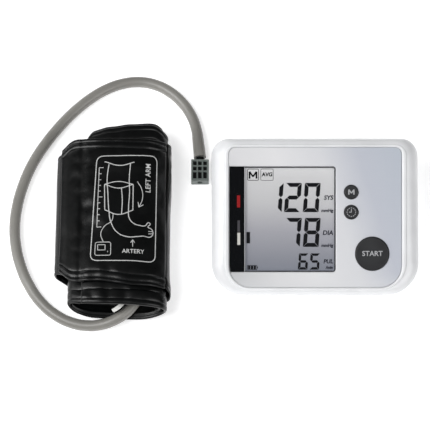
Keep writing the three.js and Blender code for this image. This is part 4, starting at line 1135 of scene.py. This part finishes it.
def makeButton(button):
    radius, rise, dish, edge = button["radius"], cap["rise"], cap["dish"], cap["edge"]
    profile = [(0, rise - dish), (radius * 0.5, rise - dish * 0.8),
               (radius * 0.82, rise - dish * 0.2)]
    for step in range(7):
        angle = step / 6 * math.pi / 2
        profile.append((radius - edge * (1 - math.sin(angle)), rise - edge * (1 - math.cos(angle))))
    flange, stem = radius + cap["flange"], cap["stemRadius"]
    profile += [(radius, -cap["flangeTop"]), (flange, -cap["flangeTop"]),
                (flange, -cap["flangeBottom"]), (stem, -cap["flangeBottom"]),
                (stem, -cap["stemBottom"]), (0, -cap["stemBottom"])]
    node = button["name"] + "_button"
    place = panelPlace @ shifted(*button["place"], 0)
    record(turned(profile, 72), button["name"] + "_cap", "button", node, place, sharp=30,
           replaced=[node], slot="button_grey")


def makeButtonMarks():
    height = cap["rise"] - cap["dish"] + 0.05
    start, memory, clock = (button["place"] for button in buttons)
    bm = bmesh.new()
    addLettering(bm, "START", 5.5, *start, -height, weight=0.08)
    record(bm, "start_lettering", "lettering", "start_button", slot="button_grey")
    bm = bmesh.new()
    addM(bm, *memory, 4.9, 4.0, 0.95)
    record(bm, "memory_lettering", "lettering", "memory_button",
           panelPlace @ shifted(0, 0, height), slot="button_grey")
    bm = bmesh.new()
    dial = panelPlace @ shifted(*clock, height)
    for step in range(12):
        low = cap["clockRadius"]
        block(bm, (-0.5, low, -0.03), (0.5, low + 0.5, 0.03), dial @ rotated(30 * step, "Z"))
    block(bm, (-0.25, -0.25, -0.03), (0.25, 2.4, 0.03), dial)
    block(bm, (-1.9, -0.25, -0.03), (0.25, 0.25, 0.03), dial)
    record(bm, "clock_symbol", "lettering", "clock_button", slot="button_grey")


makeUpperCase()
makeFrontPlate()
makeWindow()
makeWindowEdge()
makeScaleMarks()
makeDigits()
makeDisplayMarks()
for button in buttons:
    makeButton(button)
makeButtonMarks()
print("console made")


# Rolled cuff

roll = {
    "piece": "cuff_roll",
    "body": "cuff",
    "nodes": ["cuff_fabric", "bladder", "cuff_lining"],
    "held": "stretched",
    "restsOn": "cuff_strap",
    "axis": (-94, 16.95),
    "width": 80,
    "height": 29.1,
    "length": 153,
    "squareness": 0.8,
    "wall": 3.6,
    "thickness": 3.1,
    "tuck": 4.0,
    "tuckAngles": (-150, -210),
    "angles": (130, -392),
    # the sheet's front and back edges, across the roll
    "topLip": [(-134, -72.5), (-120, -75), (-98, -76), (-54, -77.6)],
    "lowLip": [(-134, -73.5), (-126, -77), (-112, -78.8), (-75, -80.2), (-54, -79)],
    "backEdge": [(-134, 55), (-122, 60), (-114, 70), (-100, 73.2), (-84, 75.6), (-66, 77),
                 (-54, 71)],
    # where the sheet turns from the top lip to the low one, by height, and where it runs inside
    "lipTurn": (-14, -5),
    "insideTurn": (100, 200),
    "insideFront": 1.5,
    "insideBack": (3, -128, -110),
    # seams, each from the front edge
    "seams": [4.6, 12.5, 148, 141],
    # how far apart the mesh's columns and rows lie
    "steps": (2.4, 3.4),
    # how deep and how wide a seam's groove is
    "groove": (0.55, 0.8),
    # height, run along and across the sheet, and seed of the puckers and of the slow folds
    "pucker": (0.3, 0.16, 0.05, 6.3),
    "fold": (0.5, 0.045, 0.03, 3.1),
    # height, and its start and end from the edge
    "bolster": (0.55, 0, 4.6),
    "buckling": {"shrink": 0.012, "inwards": 0.25, "outwards": 0.5, "bending": 4},
}
strap = {
    "piece": "cuff_band",
    "body": "cuff",
    "nodes": ["cuff_strap"],
    "held": "stretched",
    "restsOn": "cuff_roll",
    "layer": 2,
    "thickness": 1.6,
    "left": 46.8,
    "right": 40.8,
    "height": 14.95,
    "length": 124,
    "angles": (115, 385.2),
    "seams": [3.2, 120.8],
    "steps": (2.4, 3.4),
    "groove": (0.3, 0.7),
    "pucker": (0.4, 0.17, 0.05, 4.4),
    "fold": (0.35, 0.05, 0.035, 8.4),
    "bolster": (0, 0, 1),
    # amount, start and end across: drawn in round the left end, and hanging forward at the right
    "drawIn": (10.5, 120, 142),
    "slope": (3.4, 78, 110),
    "skew": (5.5, -66, -53),
    "skewHeights": (-26, -10),
    "buckling": {"shrink": 0.015, "inwards": 0.1, "outwards": 0.7, "bending": 1.2},
}
flap = {
    "piece": "cuff_flap_cloth",
    "body": None,
    "nodes": ["cuff_flap"],
    "held": "folded",
    "restsOn": "cuff_roll",
    "thickness": 1.6,
    "length": strap["length"],
    "angles": (25.4, 150),
    "rise": 2.3,
    "riseAngles": (25, 60),
    "seams": [3.2, 8.6, 120.8, 115.4],
    # seams from front to back, each from the flap's end
    "crossSeams": [3.0, 18.5],
    "steps": (2.2, 3.2),
    "groove": (0.45, 0.8),
    "crossGroove": (0.85, 1.5),
    "pucker": (0.45, 0.15, 0.05, 9.7),
    "fold": (0.45, 0.05, 0.03, 5.2),
    "bolster": (0.5, 3.2, 8.6),
    # amount, start and end across: the end over the left shoulder has its corners cut
    "corner": (10.0, 127, 141),
    "slope": (3.6, 78, 110),
    # unevenness of the cross seams, then slack creases between two distances from the end
    "uneven": (0.3, 0.02, 0.06, 2.6),
    "crease": (0.4, 0.13, 0.022, 1.4),
    "creaseLean": 0.012 / 0.13,
    "creaseStart": 34,
    "creaseFull": 22,
    "buckling": {"shrink": 0.006, "inwards": 0.25, "outwards": 0.8, "bending": 15},
}


def ovalPoint(degrees, left, right, height):
    across, up = math.cos(math.radians(degrees)), math.sin(math.radians(degrees))
    power = roll["squareness"]
    side = right if across > 0 else left
    return Vector((side * math.copysign(abs(across) ** power, across),
                   height * math.copysign(abs(up) ** power, up)))


def rollFace(degrees, outward):
    tucked = roll["tuck"] * smoothStep(-degrees, -roll["tuckAngles"][0], -roll["tuckAngles"][1])
    return patchFace(degrees, outward - tucked)


def patchFace(degrees, outward):
    reach = roll["width"] / 2 + outward
    return ovalPoint(degrees, reach, reach, roll["height"] / 2 + outward)


def strapFace(degrees, outward):
    return ovalPoint(degrees, strap["left"] + outward, strap["right"] + outward,
                     strap["height"] + outward)


def flapFace(degrees, outward):
    rise = flap["rise"] * smoothStep(degrees, *flap["riseAngles"])
    return ovalPoint(degrees, strap["left"] + rise + outward, strap["right"] + outward,
                     strap["height"] + rise + outward)


def section(face, start, end, outward, spacing):
    # Points evenly spaced along a wound layer, each with its angle and its distance along
    count = 720
    dense = []
    for k in range(count + 1):
        degrees = blend(start, end, k / count)
        dense.append((degrees, face(degrees, outward) + Vector(roll["axis"])))
    travelled = [0.0]
    for (_, a), (_, b) in zip(dense, dense[1:]):
        travelled.append(travelled[-1] + (b - a).length)
    steps = max(round(travelled[-1] / spacing), 2)
    points, k = [], 0
    for step in range(steps + 1):
        target = travelled[-1] * step / steps
        while k < count - 1 and travelled[k + 1] < target:
            k += 1
        share = (target - travelled[k]) / (travelled[k + 1] - travelled[k])
        degrees = blend(dense[k][0], dense[k + 1][0], share)
        points.append((degrees, dense[k][1].lerp(dense[k + 1][1], share), target))
    return points


def rowPlaces(length, seams, spacing):
    # Distances across a sheet: even steps, with extra rows beside each seam
    places = [length * k / round(length / spacing) for k in range(round(length / spacing) + 1)]
    for seam in seams:
        places = [place for place in places if abs(place - seam) > 1.4 or place in (0, length)]
        places += [seam - 1.1, seam - 0.45, seam, seam + 0.45, seam + 1.1]
    return sorted(place for place in places if 0 <= place <= length)


def nearSeam(value, seams, reach):
    return max((math.exp(-((value - seam) / reach) ** 2) for seam in seams), default=0)


def clothSheet(points, rows, ends, relief):
    # A grid laid along a wound section. ends gives the sheet's front and back at a point of the
    # section, and relief how far the cloth stands out there.
    bm = bmesh.new()
    columns, across = len(points) - 1, len(rows) - 1
    bmesh.ops.create_grid(bm, x_segments=columns, y_segments=across, size=0.5)
    flat = bm.loops.layers.uv.new("UVMap")
    length = rows[-1]
    spots = {vert.index: (round((vert.co.x + 0.5) * columns), round((vert.co.y + 0.5) * across))
             for vert in bm.verts}
    for face in bm.faces:
        for loop in face.loops:
            column, row = spots[loop.vert.index]
            loop[flat].uv = (points[column][2] * mm, rows[row] * mm)
    for vert in bm.verts:
        column, row = spots[vert.index]
        degrees, place, along = points[column]
        before, after = points[max(column - 1, 0)][1], points[min(column + 1, columns)][1]
        tangent = (after - before).normalized()
        outward = Vector((tangent.y, -tangent.x))
        if outward.dot(place - Vector(roll["axis"])) < 0:
            outward = -outward
        low, high = ends(degrees, place)
        y = blend(low, high, rows[row] / length)
        spot = place + outward * relief(along, rows[row])
        vert.co = Vector((spot.x, y, spot.y)) * mm
    bmesh.ops.recalc_face_normals(bm, faces=bm.faces)
    return bm


def giveThickness(piece, thickness, subdivide=True):
    modifier = piece.modifiers.new("thickness", "SOLIDIFY")
    modifier.thickness = thickness * mm
    modifier.offset = 0
    if subdivide:
        softer = piece.modifiers.new("softer", "SUBSURF")
        softer.levels = softer.render_levels = 1


clothValues = {
    "quality": 5,
    "mass": 0.2,
    "tension_stiffness": 12,
    "compression_stiffness": 12,
    "shear_stiffness": 5,
    "vertex_group_mass": "held",
}
clothFrames = 20


def crumple(piece, loose, shrink, inwards, outwards, bending):
    # Lets the cloth buckle between its seams. Each point keeps within the caps, in millimetres.
    start = [vert.co.copy() for vert in piece.data.vertices]
    normals = [vert.normal.copy() for vert in piece.data.vertices]
    group = piece.vertex_groups.new(name="held")
    for vert in piece.data.vertices:
        if not loose(*(vert.co / mm)):
            group.add([vert.index], 1.0, "REPLACE")
    modifier = piece.modifiers.new("cloth", "CLOTH")
    for name, value in clothValues.items():
        setattr(modifier.settings, name, value)
    modifier.settings.bending_stiffness = bending
    modifier.settings.shrink_min = -shrink
    modifier.settings.effector_weights.gravity = 0
    modifier.collision_settings.use_collision = False
    for number in range(1, clothFrames + 1):
        scene.frame_set(number)
    graph = bpy.context.evaluated_depsgraph_get()
    cloth = piece.evaluated_get(graph)
    moved = [vert.co.copy() for vert in cloth.to_mesh().vertices]
    cloth.to_mesh_clear()
    piece.modifiers.remove(modifier)
    piece.vertex_groups.clear()
    scene.frame_set(1)
    for vert, old, new, normal in zip(piece.data.vertices, start, moved, normals):
        shift = new - old
        out = shift.dot(normal)
        aside = shift - normal * out
        if aside.length > outwards * mm:
            aside *= outwards * mm / aside.length
        vert.co = old + aside + normal * min(max(out, -inwards * mm), outwards * mm)
    piece.data.update()


def ripple(form, along, across):
    height, runAlong, runAcross, seed = form
    return height * noise.noise(Vector((along * runAlong, across * runAcross, seed)))


def clothRelief(cloth, along, across):
    # Folds, grooves at the seams with puckers beside them, and a soft bolster along each edge
    seams, (groove, reach) = cloth["seams"], cloth["groove"]
    out = ripple(cloth["fold"], along, across) - groove * nearSeam(across, seams, reach)
    out += ripple(cloth["pucker"], along, across) * nearSeam(across, seams, 6)
    height, start, end = cloth["bolster"]
    share = (min(across, cloth["length"] - across) - start) / (end - start)
    return out + height * math.sin(math.pi * min(max(share, 0), 1))


def crossRelief(along, across, total):
    # The flap's cross seams and the creases near its end
    seams = [total - back for back in flap["crossSeams"]]
    groove, reach = flap["crossGroove"]
    uneven = ripple(flap["uneven"], along, across) * math.sin(across * 0.3)
    out = uneven * nearSeam(along, seams, 6) - groove * nearSeam(along, seams, reach)
    creases = ripple(flap["crease"], along + across * flap["creaseLean"], across)
    return out + creases * smoothStep(along, total - flap["creaseStart"],
                                      total - flap["creaseFull"])


def easing(form, value):
    # An amount that grows from nothing to its full size between two places
    amount, low, high = form
    return amount * smoothStep(value, low, high)


def rollEnds(degrees, place):
    x, height = place
    inside = smoothStep(-degrees, *roll["insideTurn"])
    back = lineAt(roll["backEdge"], x) + inside * easing(roll["insideBack"], x)
    lip = blend(lineAt(roll["topLip"], x), lineAt(roll["lowLip"], x),
                smoothStep(-height, *roll["lipTurn"]))
    return lip + roll["insideFront"] * inside, back


def strapEnds(_, place):
    drawn = easing(strap["drawIn"], -place.x)
    skew = easing(strap["skew"], place.x) * smoothStep(-place.y, *strap["skewHeights"])
    slope = easing(strap["slope"], -place.x)
    return drawn + slope - skew - strap["length"] / 2, strap["length"] / 2 - drawn


def flapEnds(_, place):
    corner = easing(flap["corner"], -place.x)
    slope = easing(flap["slope"], -place.x)
    return corner + slope - flap["length"] / 2, flap["length"] / 2 - 0.8 * corner


def makeCloth(cloth, face, outward, ends, loose, extra=None):
    # A sheet wound on its face. loose says where it may buckle, and extra adds to its relief.
    column, row = cloth["steps"]
    points = section(face, *cloth["angles"], outward, column)
    total = points[-1][2]

    def relief(along, across):
        out = clothRelief(cloth, along, across)
        return out + extra(along, across, total) if extra else out

    bm = clothSheet(points, rowPlaces(cloth["length"], cloth["seams"], row), ends, relief)
    piece = record(bm, cloth["piece"], "nylon", cloth["body"], sharp=180, replaced=cloth["nodes"],
                   slot="cuff_nylon")
    crumple(piece, loose, **cloth["buckling"])
    giveThickness(piece, cloth["thickness"])
    return piece


makeCloth(roll, rollFace, -roll["wall"] / 2, rollEnds, lambda x, y, z: -71 < y < -63.5 and z > 20)
makeCloth(strap, strapFace, strap["layer"] / 2, strapEnds, lambda x, y, z: abs(y) < 57.5)
flapPiece = makeCloth(flap, flapFace, strap["layer"] / 2, flapEnds,
                      lambda x, y, z: abs(y) < 52 and x < -58 and not -123 < x < -120, crossRelief)
print("cuff made")


# Closure tapes and the label in the roll's mouth

tapes = {
    # node: piece, finish, body, height above the roll's face
    "loop_patch": ("loop_tape", "loopTape", "cuff", 0.85),
    "hook_patch": ("hook_tape", "hookTape", "cuff_flap", 1.95),
}
tape = {"angles": (103, 62), "width": 100, "thickness": 0.7, "steps": (3, 4)}


def makeTape(node):
    name, finish, body, outward = tapes[node]
    column, row = tape["steps"]
    half = tape["width"] / 2
    points = section(patchFace, *tape["angles"], outward, column)
    bm = clothSheet(points, rowPlaces(tape["width"], [], row), lambda *spot: (-half, half),
                    lambda *spot: 0)
    piece = record(bm, name, finish, body, sharp=180, replaced=[node], slot="closure")
    giveThickness(piece, tape["thickness"], False)


label = {
    "start": (-86.8, -70.2, 23.3),
    "width": 3.4,
    "length": 12.5,
    "thickness": 0.4,
    "direction": -141,
    "drop": 3.6,
    "hollow": 0.5,
    "bend": 1.2,
}


def makeLabel():
    # A small tape that hangs out of the mouth aslant and curls down
    bm = bmesh.new()
    bmesh.ops.create_grid(bm, x_segments=4, y_segments=12, size=0.5)
    flat = bm.loops.layers.uv.new("UVMap")
    width, length = label["width"] * mm, label["length"] * mm
    for face in bm.faces:
        for loop in face.loops:
            loop[flat].uv = (loop.vert.co.x * width, loop.vert.co.y * length)
    turn = math.radians(label["direction"])
    forward = Vector((math.cos(turn), math.sin(turn), 0))
    aside = Vector((-forward.y, forward.x, 0))
    start = Vector(label["start"]) * mm
    for vert in bm.verts:
        share = 0.5 - vert.co.y
        drop = label["drop"] * share ** 2 + label["hollow"] * math.cos(math.pi * vert.co.x)
        bend = label["bend"] * math.sin(math.pi * share) * mm
        vert.co = (start + forward * share * length + aside * (vert.co.x * width + bend)
                   - Vector((0, 0, drop)) * mm)
    bmesh.ops.recalc_face_normals(bm, faces=bm.faces)
    piece = record(bm, "care_label_tape", "label", "cuff", sharp=180, replaced=["care_label"],
                   slot="label_cloth")
    giveThickness(piece, label["thickness"])


for node in tapes:
    makeTape(node)
makeLabel()


# Pieces on the flap follow its surface from above

def topSurface(piece):
    bpy.context.view_layer.update()
    graph = bpy.context.evaluated_depsgraph_get()
    return BVHTree.FromObject(piece, graph)


def heightOn(surface, x, y):
    spot = surface.ray_cast(Vector((x, y, 0.1)), Vector((0, 0, -1)))[0]
    return spot.z if spot else None


printArt = {
    # half the width of a bold and of a thin line, and how far lines and words stand off the cloth
    "line": 0.35,
    "thin": 0.27,
    "lift": 0.06,
    "wordLift": 0.16,
    "flatness": 0.12,
    "frame": [(-110.2, 45.7), (-62.8, 47.4), (-63.5, -42.3), (-113.9, -42.3)],
    "frameRadius": 5.5,
    # the sleeve's end, then the outer and inner side of the arm with its hand
    "arm": [[(-104, 41), (-92, 38), (-80.5, 41)],
            [(-100.5, 38.8), (-101.8, 28), (-101, 14), (-100, 0), (-98, -11), (-93, -19),
             (-85, -22.5), (-77, -22), (-72, -21.3), (-68, -21.6), (-65.9, -19.8), (-65.7, -16),
             (-67, -14.4), (-69.2, -13.4), (-67.6, -10.4), (-68.9, -9.5), (-71.6, -12.6),
             (-76, -12.6), (-80.6, -11), (-84, -6.5), (-84.6, 2), (-84, 14), (-84.4, 28),
             (-83.6, 39.6)]],
    # the cuff round the upper arm, with its overlap and its two straight sides
    "cuff": [[(-103.8, 22), (-93, 18.6), (-81.2, 22)], [(-103.8, 22), (-93, 24.6), (-81.2, 22)],
             [(-103.2, 0), (-92.5, -3.8), (-81.2, 0)], [(-90.4, 18.9), (-89.6, 8), (-90, -3.6)]],
    "cuffSides": [[(-103.8, 22), (-103.2, 0)], [(-81.2, 22), (-81.2, 0)]],
    # ruler: its line, then the first tick's height, their spacing and their number
    "ruler": [(-108.2, 36), (-109.2, -14)],
    "ticks": (36, 5, 11),
    "fingers": [[(-66, -16.6), (-69, -16.9)], [(-65.9, -18.4), (-69, -18.9)]],
    # wrap arrow beside the cuff, then the hose to a small monitor
    "wrap": [(-78, 24.5), (-74.5, 18), (-73.8, 10), (-76.4, 3)],
    "hose": [(-96.5, -3.3), (-97.5, -9), (-103.5, -14), (-106, -20), (-104, -26.6)],
    "arrows": [[(-77.2, 7), (-76.6, 2.8), (-73, 5)], [(-81, -30.6), (-81, -25.4)],
               [(-82.6, -27.4), (-81, -24.9), (-79.4, -27.4)]],
    "monitor": [(-110.4, -38), (-98, -38), (-98, -27), (-110, -27)],
    "monitorRadius": 1.8,
    "screen": [(-108.2, -33.6), (-102.4, -33.6), (-102.4, -29.2), (-108.2, -29.2)],
    "knob": [(-100.4, -35.4), (-100.3, -34.6), (-100.6, -34.6)],
    # piece: words, size, place, turn
    "words": {"cuff_print_side": ("LEFT ARM", 5.6, (-69.4, 28), 90),
              "cuff_print_foot": ("ARTERY", 4.8, (-80.6, -34.6), 0)},
}


def bezierStrip(data, points):
    line = data.splines.new("BEZIER")
    line.bezier_points.add(len(points) - 1)
    for spot, (x, y) in zip(line.bezier_points, points):
        spot.co = (x * mm, y * mm, 0)
        spot.handle_left_type = spot.handle_right_type = "AUTO"


def straightStrip(data, points, closed=False):
    # Short steps, so that the line can follow the cloth
    line = data.splines.new("POLY")
    places = []
    for a, b in zip(points, points[1:] + (points[:1] if closed else [])):
        pieces = max(math.ceil(math.dist(a, b)), 1)
        for k in range(pieces):
            places.append((blend(a[0], b[0], k / pieces), blend(a[1], b[1], k / pieces)))
    if not closed:
        places.append(points[-1])
    line.points.add(len(places) - 1)
    line.use_cyclic_u = closed
    for spot, (x, y) in zip(line.points, places):
        spot.co = (x * mm, y * mm, 0, 1)


def roundedPath(corners, radius, steps=5):
    # A closed path whose corners are arcs
    path = []
    count = len(corners)
    for k, corner in enumerate(corners):
        corner = Vector(corner)
        before, after = Vector(corners[k - 1]), Vector(corners[(k + 1) % count])
        start = corner + (before - corner).normalized() * radius
        end = corner + (after - corner).normalized() * radius
        for step in range(steps + 1):
            share = step / steps
            path.append(tuple(start.lerp(corner, share).lerp(corner.lerp(end, share), share)))
    return path


def flatLines(radius, curves=(), lines=(), loops=()):
    data = bpy.data.curves.new("lines", "CURVE")
    data.dimensions = "3D"
    data.resolution_u = 16
    data.bevel_depth = radius * mm
    data.bevel_resolution = 1
    data.use_fill_caps = True
    for points in curves:
        bezierStrip(data, points)
    for points in lines:
        straightStrip(data, points)
    for points in loops:
        straightStrip(data, points, True)
    return curveMesh(data)


def drapeOn(mesh, surface, lift):
    for vert in mesh.vertices:
        ground = heightOn(surface, vert.co.x, vert.co.y)
        if ground is not None:
            vert.co.z = ground + lift * mm + vert.co.z * printArt["flatness"]


def makePrint(surface):
    art = printArt
    first, spacing, count = art["ticks"]
    ticks = []
    for k in range(count):
        x, y = art["ruler"][0][0] - k / 10, first - spacing * k
        ticks.append([(x, y), (x + (3.4 if k % 5 == 0 else 2), y)])
    frameMesh = flatLines(art["line"], loops=[roundedPath(art["frame"], art["frameRadius"])])
    armMesh = flatLines(art["line"], art["arm"] + art["cuff"], art["cuffSides"])
    monitor = roundedPath(art["monitor"], art["monitorRadius"])
    marks = flatLines(art["thin"], [art["wrap"], art["hose"]],
                      [art["ruler"]] + ticks + art["fingers"] + art["arrows"],
                      [monitor, art["screen"], art["knob"]])
    shapes = [("cuff_print_frame", art["lift"], frameMesh),
              ("cuff_print_arm", art["lift"], armMesh),
              ("cuff_print_marks", art["lift"], marks)]
    for name, (words, size, place, turn) in art["words"].items():
        mesh = letteringMesh(words, size, weight=0.05)
        mesh.transform(shifted(*place, 0) @ rotated(turn, "Z"))
        shapes.append((name, art["wordLift"], mesh))
    for name, lift, mesh in shapes:
        drapeOn(mesh, surface, lift)
        flapPieces.append(recordMesh(mesh, name, "printWhite", None, 60, slot="cuff_nylon"))


stitch = {
    "length": 1.5,
    "pitch": 2.9,
    "width": 0.26,
    "height": 0.2,
    # seams along the flap from each long edge, and across it from its end
    "rows": [3.2, 8.6],
    "crossRows": [3.0, 21.5],
    "above": 0.4,
}


def sew(lines, surface):
    # Short threads laid along lines of points, each standing on the nearest cloth
    bm = bmesh.new()
    half = (stitch["length"] / 2 * mm, stitch["width"] * mm, stitch["height"] * mm)
    for line in lines:
        line = [Vector(point) * mm for point in line]
        carried = 0.0
        for a, b in zip(line, line[1:]):
            span = (b - a).length / mm
            spot = carried
            while spot < span:
                found, normal = surface.find_nearest(a.lerp(b, spot / span))[:2]
                along = (b - a).normalized()
                along = (along - normal * along.dot(normal)).normalized()
                turn = Matrix((along, normal.cross(along), normal)).transposed().to_4x4()
                matrix = Matrix.Translation(found) @ turn @ Matrix.Diagonal((*half, 1))
                bmesh.ops.create_uvsphere(bm, u_segments=6, v_segments=4, radius=1, matrix=matrix)
                spot += stitch["pitch"]
            carried = spot - span
    return record(bm, "flap_stitches", "thread", None, sharp=180, slot="cuff_nylon")


def acrossFlap(point, share):
    # A place between the flap's front and back edges, just above the cloth
    place = point[1]
    return place.x, blend(*flapEnds(point[0], place), share), place.y + stitch["above"]


def sewFlap():
    points = section(flapFace, *flap["angles"], strap["layer"], flap["steps"][0])
    rows = [row / flap["length"] for row in stitch["rows"]]
    lines = [[acrossFlap(point, share) for point in points]
             for share in rows + [1 - share for share in rows]]
    for back in stitch["crossRows"]:
        nearest = min(points, key=lambda point: abs(point[2] - (points[-1][2] - back)))
        lines.append([acrossFlap(nearest, k / 30) for k in range(1, 30)])
    return sew(lines, flapTop)


flapPieces = [flapPiece]
flapTop = topSurface(flapPiece)
makePrint(flapTop)
flapPieces.append(sewFlap())
for piece in flapPieces:
    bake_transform(piece)
print("flap dressed:", len(flapPieces))


# Coil springs: the cells' two contact springs and the release valve's

coils = {
    # node: wire radius, turns, the tip's radius, the end that it stands on
    "contact_spring_front": (0.45, 5, 2.6, "left"),
    "contact_spring_back": (0.45, 5, 2.6, "right"),
    "valve_spring": (0.3, 5, 2.5, "bottom"),
}


def makeCoil(node):
    wire, turns, tip, foot = coils[node]
    low, high = (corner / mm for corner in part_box(node))
    radius = (high.y - low.y) / 2
    middle = (low + high) / 2
    stand, lean, length = {
        "bottom": ((middle.x, middle.y, low.z), 0, high.z - low.z),
        "left": ((low.x, middle.y, middle.z), 90, high.x - low.x),
        "right": ((high.x, middle.y, middle.z), -90, high.x - low.x),
    }[foot]
    steps = 18 * turns
    bm = bmesh.new()
    start = shifted(radius - wire, 0, wire) @ rotated(90, "X")
    bmesh.ops.create_circle(bm, segments=8, radius=wire * mm, matrix=start)
    rise = (length - 2 * wire) * mm / steps
    bmesh.ops.spin(bm, geom=bm.verts[:] + bm.edges[:], cent=(0, 0, 0), axis=(0, 0, 1),
                   dvec=(0, 0, rise), angle=2 * math.pi * turns, steps=steps, use_merge=False,
                   use_duplicate=False)
    bmesh.ops.holes_fill(bm, edges=[edge for edge in bm.edges if edge.is_boundary], sides=0)
    for vert in bm.verts:
        narrower = blend(1, tip / radius, vert.co.z / mm / length)
        vert.co.x *= narrower
        vert.co.y *= narrower
    bmesh.ops.recalc_face_normals(bm, faces=bm.faces)
    place = shifted(*stand) @ rotated(lean, "Y")
    piece = record(bm, node + "_coil", "contact", "console", place, replaced=[node],
                   slot="contact_steel")
    if foot == "bottom":
        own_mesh(piece)


for node in coils:
    makeCoil(node)
print("coils made:", len(coils))


# Carried-over nodes keep their shape and get a finish

dressing = {
    "housing": ["lower_case", "battery_door"],
    "film": ["scale_film"],
    "glass": ["lcd_panel"],
    "whitePlastic": ["lcd_frame"],
    "darkRubber": ["zebra_strip_front", "zebra_strip_back"],
    "matRubber": ["keypad_mat"],
    "board": ["main_board"],
    "blackPlastic": ["microcontroller", "buzzer", "air_socket", "adapter_jack", "cuff_fitting",
                     "pump_head", "valve_body"],
    "cream": ["pressure_sensor", "air_manifold"],
    "cell": [f"battery_{k}" for k in range(1, 5)],
    "contact": ["contact_plate_front", "contact_plate_back", "valve_plunger", "pump_shaft"],
    "motor": ["pump_motor"],
    "steel": ["board_screw_1", "board_screw_2"] + [f"case_screw_{k}" for k in range(1, 5)],
    "rubber": [f"foot_{k}" for k in range(1, 5)],
    "tube": ["pump_tube", "socket_tube", "sensor_tube", "valve_tube"],
}
crispAngle = 32


def dress(piece, finish):
    piece.data.materials.clear()
    piece.data.materials.append(finishes[finish].material)
    for face in piece.data.polygons:
        face.use_smooth = True
        face.material_index = 0
    weld = piece.modifiers.new("joined", "WELD")
    weld.merge_threshold = 1e-6
    split = piece.modifiers.new("crisp", "EDGE_SPLIT")
    split.split_angle = math.radians(crispAngle)


for finish, names in dressing.items():
    for name in names:
        dress(nodes[name], finish)
left = [name for name, piece in nodes.items() if len(piece.modifiers) == 0]
print("carried-over nodes dressed; the rest are replaced:", left)


# Floor and soft studio light

studio = {
    "floor": 6.0,
    "world": 0.08,
    "glow": 0.55,
    "lamps": [
        # name, place, size, power, in metres and watts
        ("key", (-1.3, -0.5, 2.1), 1.6, 40),
        ("side", (-2.1, -0.1, 0.9), 1.5, 12),
        ("fill", (1.4, -1.2, 1.8), 1.9, 22),
        ("back", (-1.3, 1.6, 0.9), 1.1, 4),
    ],
}


def makeStudio():
    bm = bmesh.new()
    bmesh.ops.create_grid(bm, x_segments=1, y_segments=1, size=studio["floor"] / 2)
    floor = placed("floor", meshOf(bm))
    paint = Finish("floor_paint", (244, 244, 245), 0.9, specular_ior_level=0.1)
    paint.give("Emission Color", (1, 1, 1, 1))
    paint.give("Emission Strength", studio["glow"])
    floor.data.materials.append(paint.material)
    for name, place, size, power in studio["lamps"]:
        lamp = bpy.data.lights.new(name, "AREA")
        lamp.shape = "DISK"
        lamp.size = size
        lamp.energy = power
        aim(placed(name, lamp), place, (0, 0, 0))
    world = bpy.data.worlds.new("studio")
    world.use_nodes = True
    background = world.node_tree.nodes["Background"].inputs
    background["Color"].default_value = (1, 1, 1, 1)
    background["Strength"].default_value = studio["world"]
    scene.world = world
    scene.view_settings.view_transform = "Standard"


makeStudio()
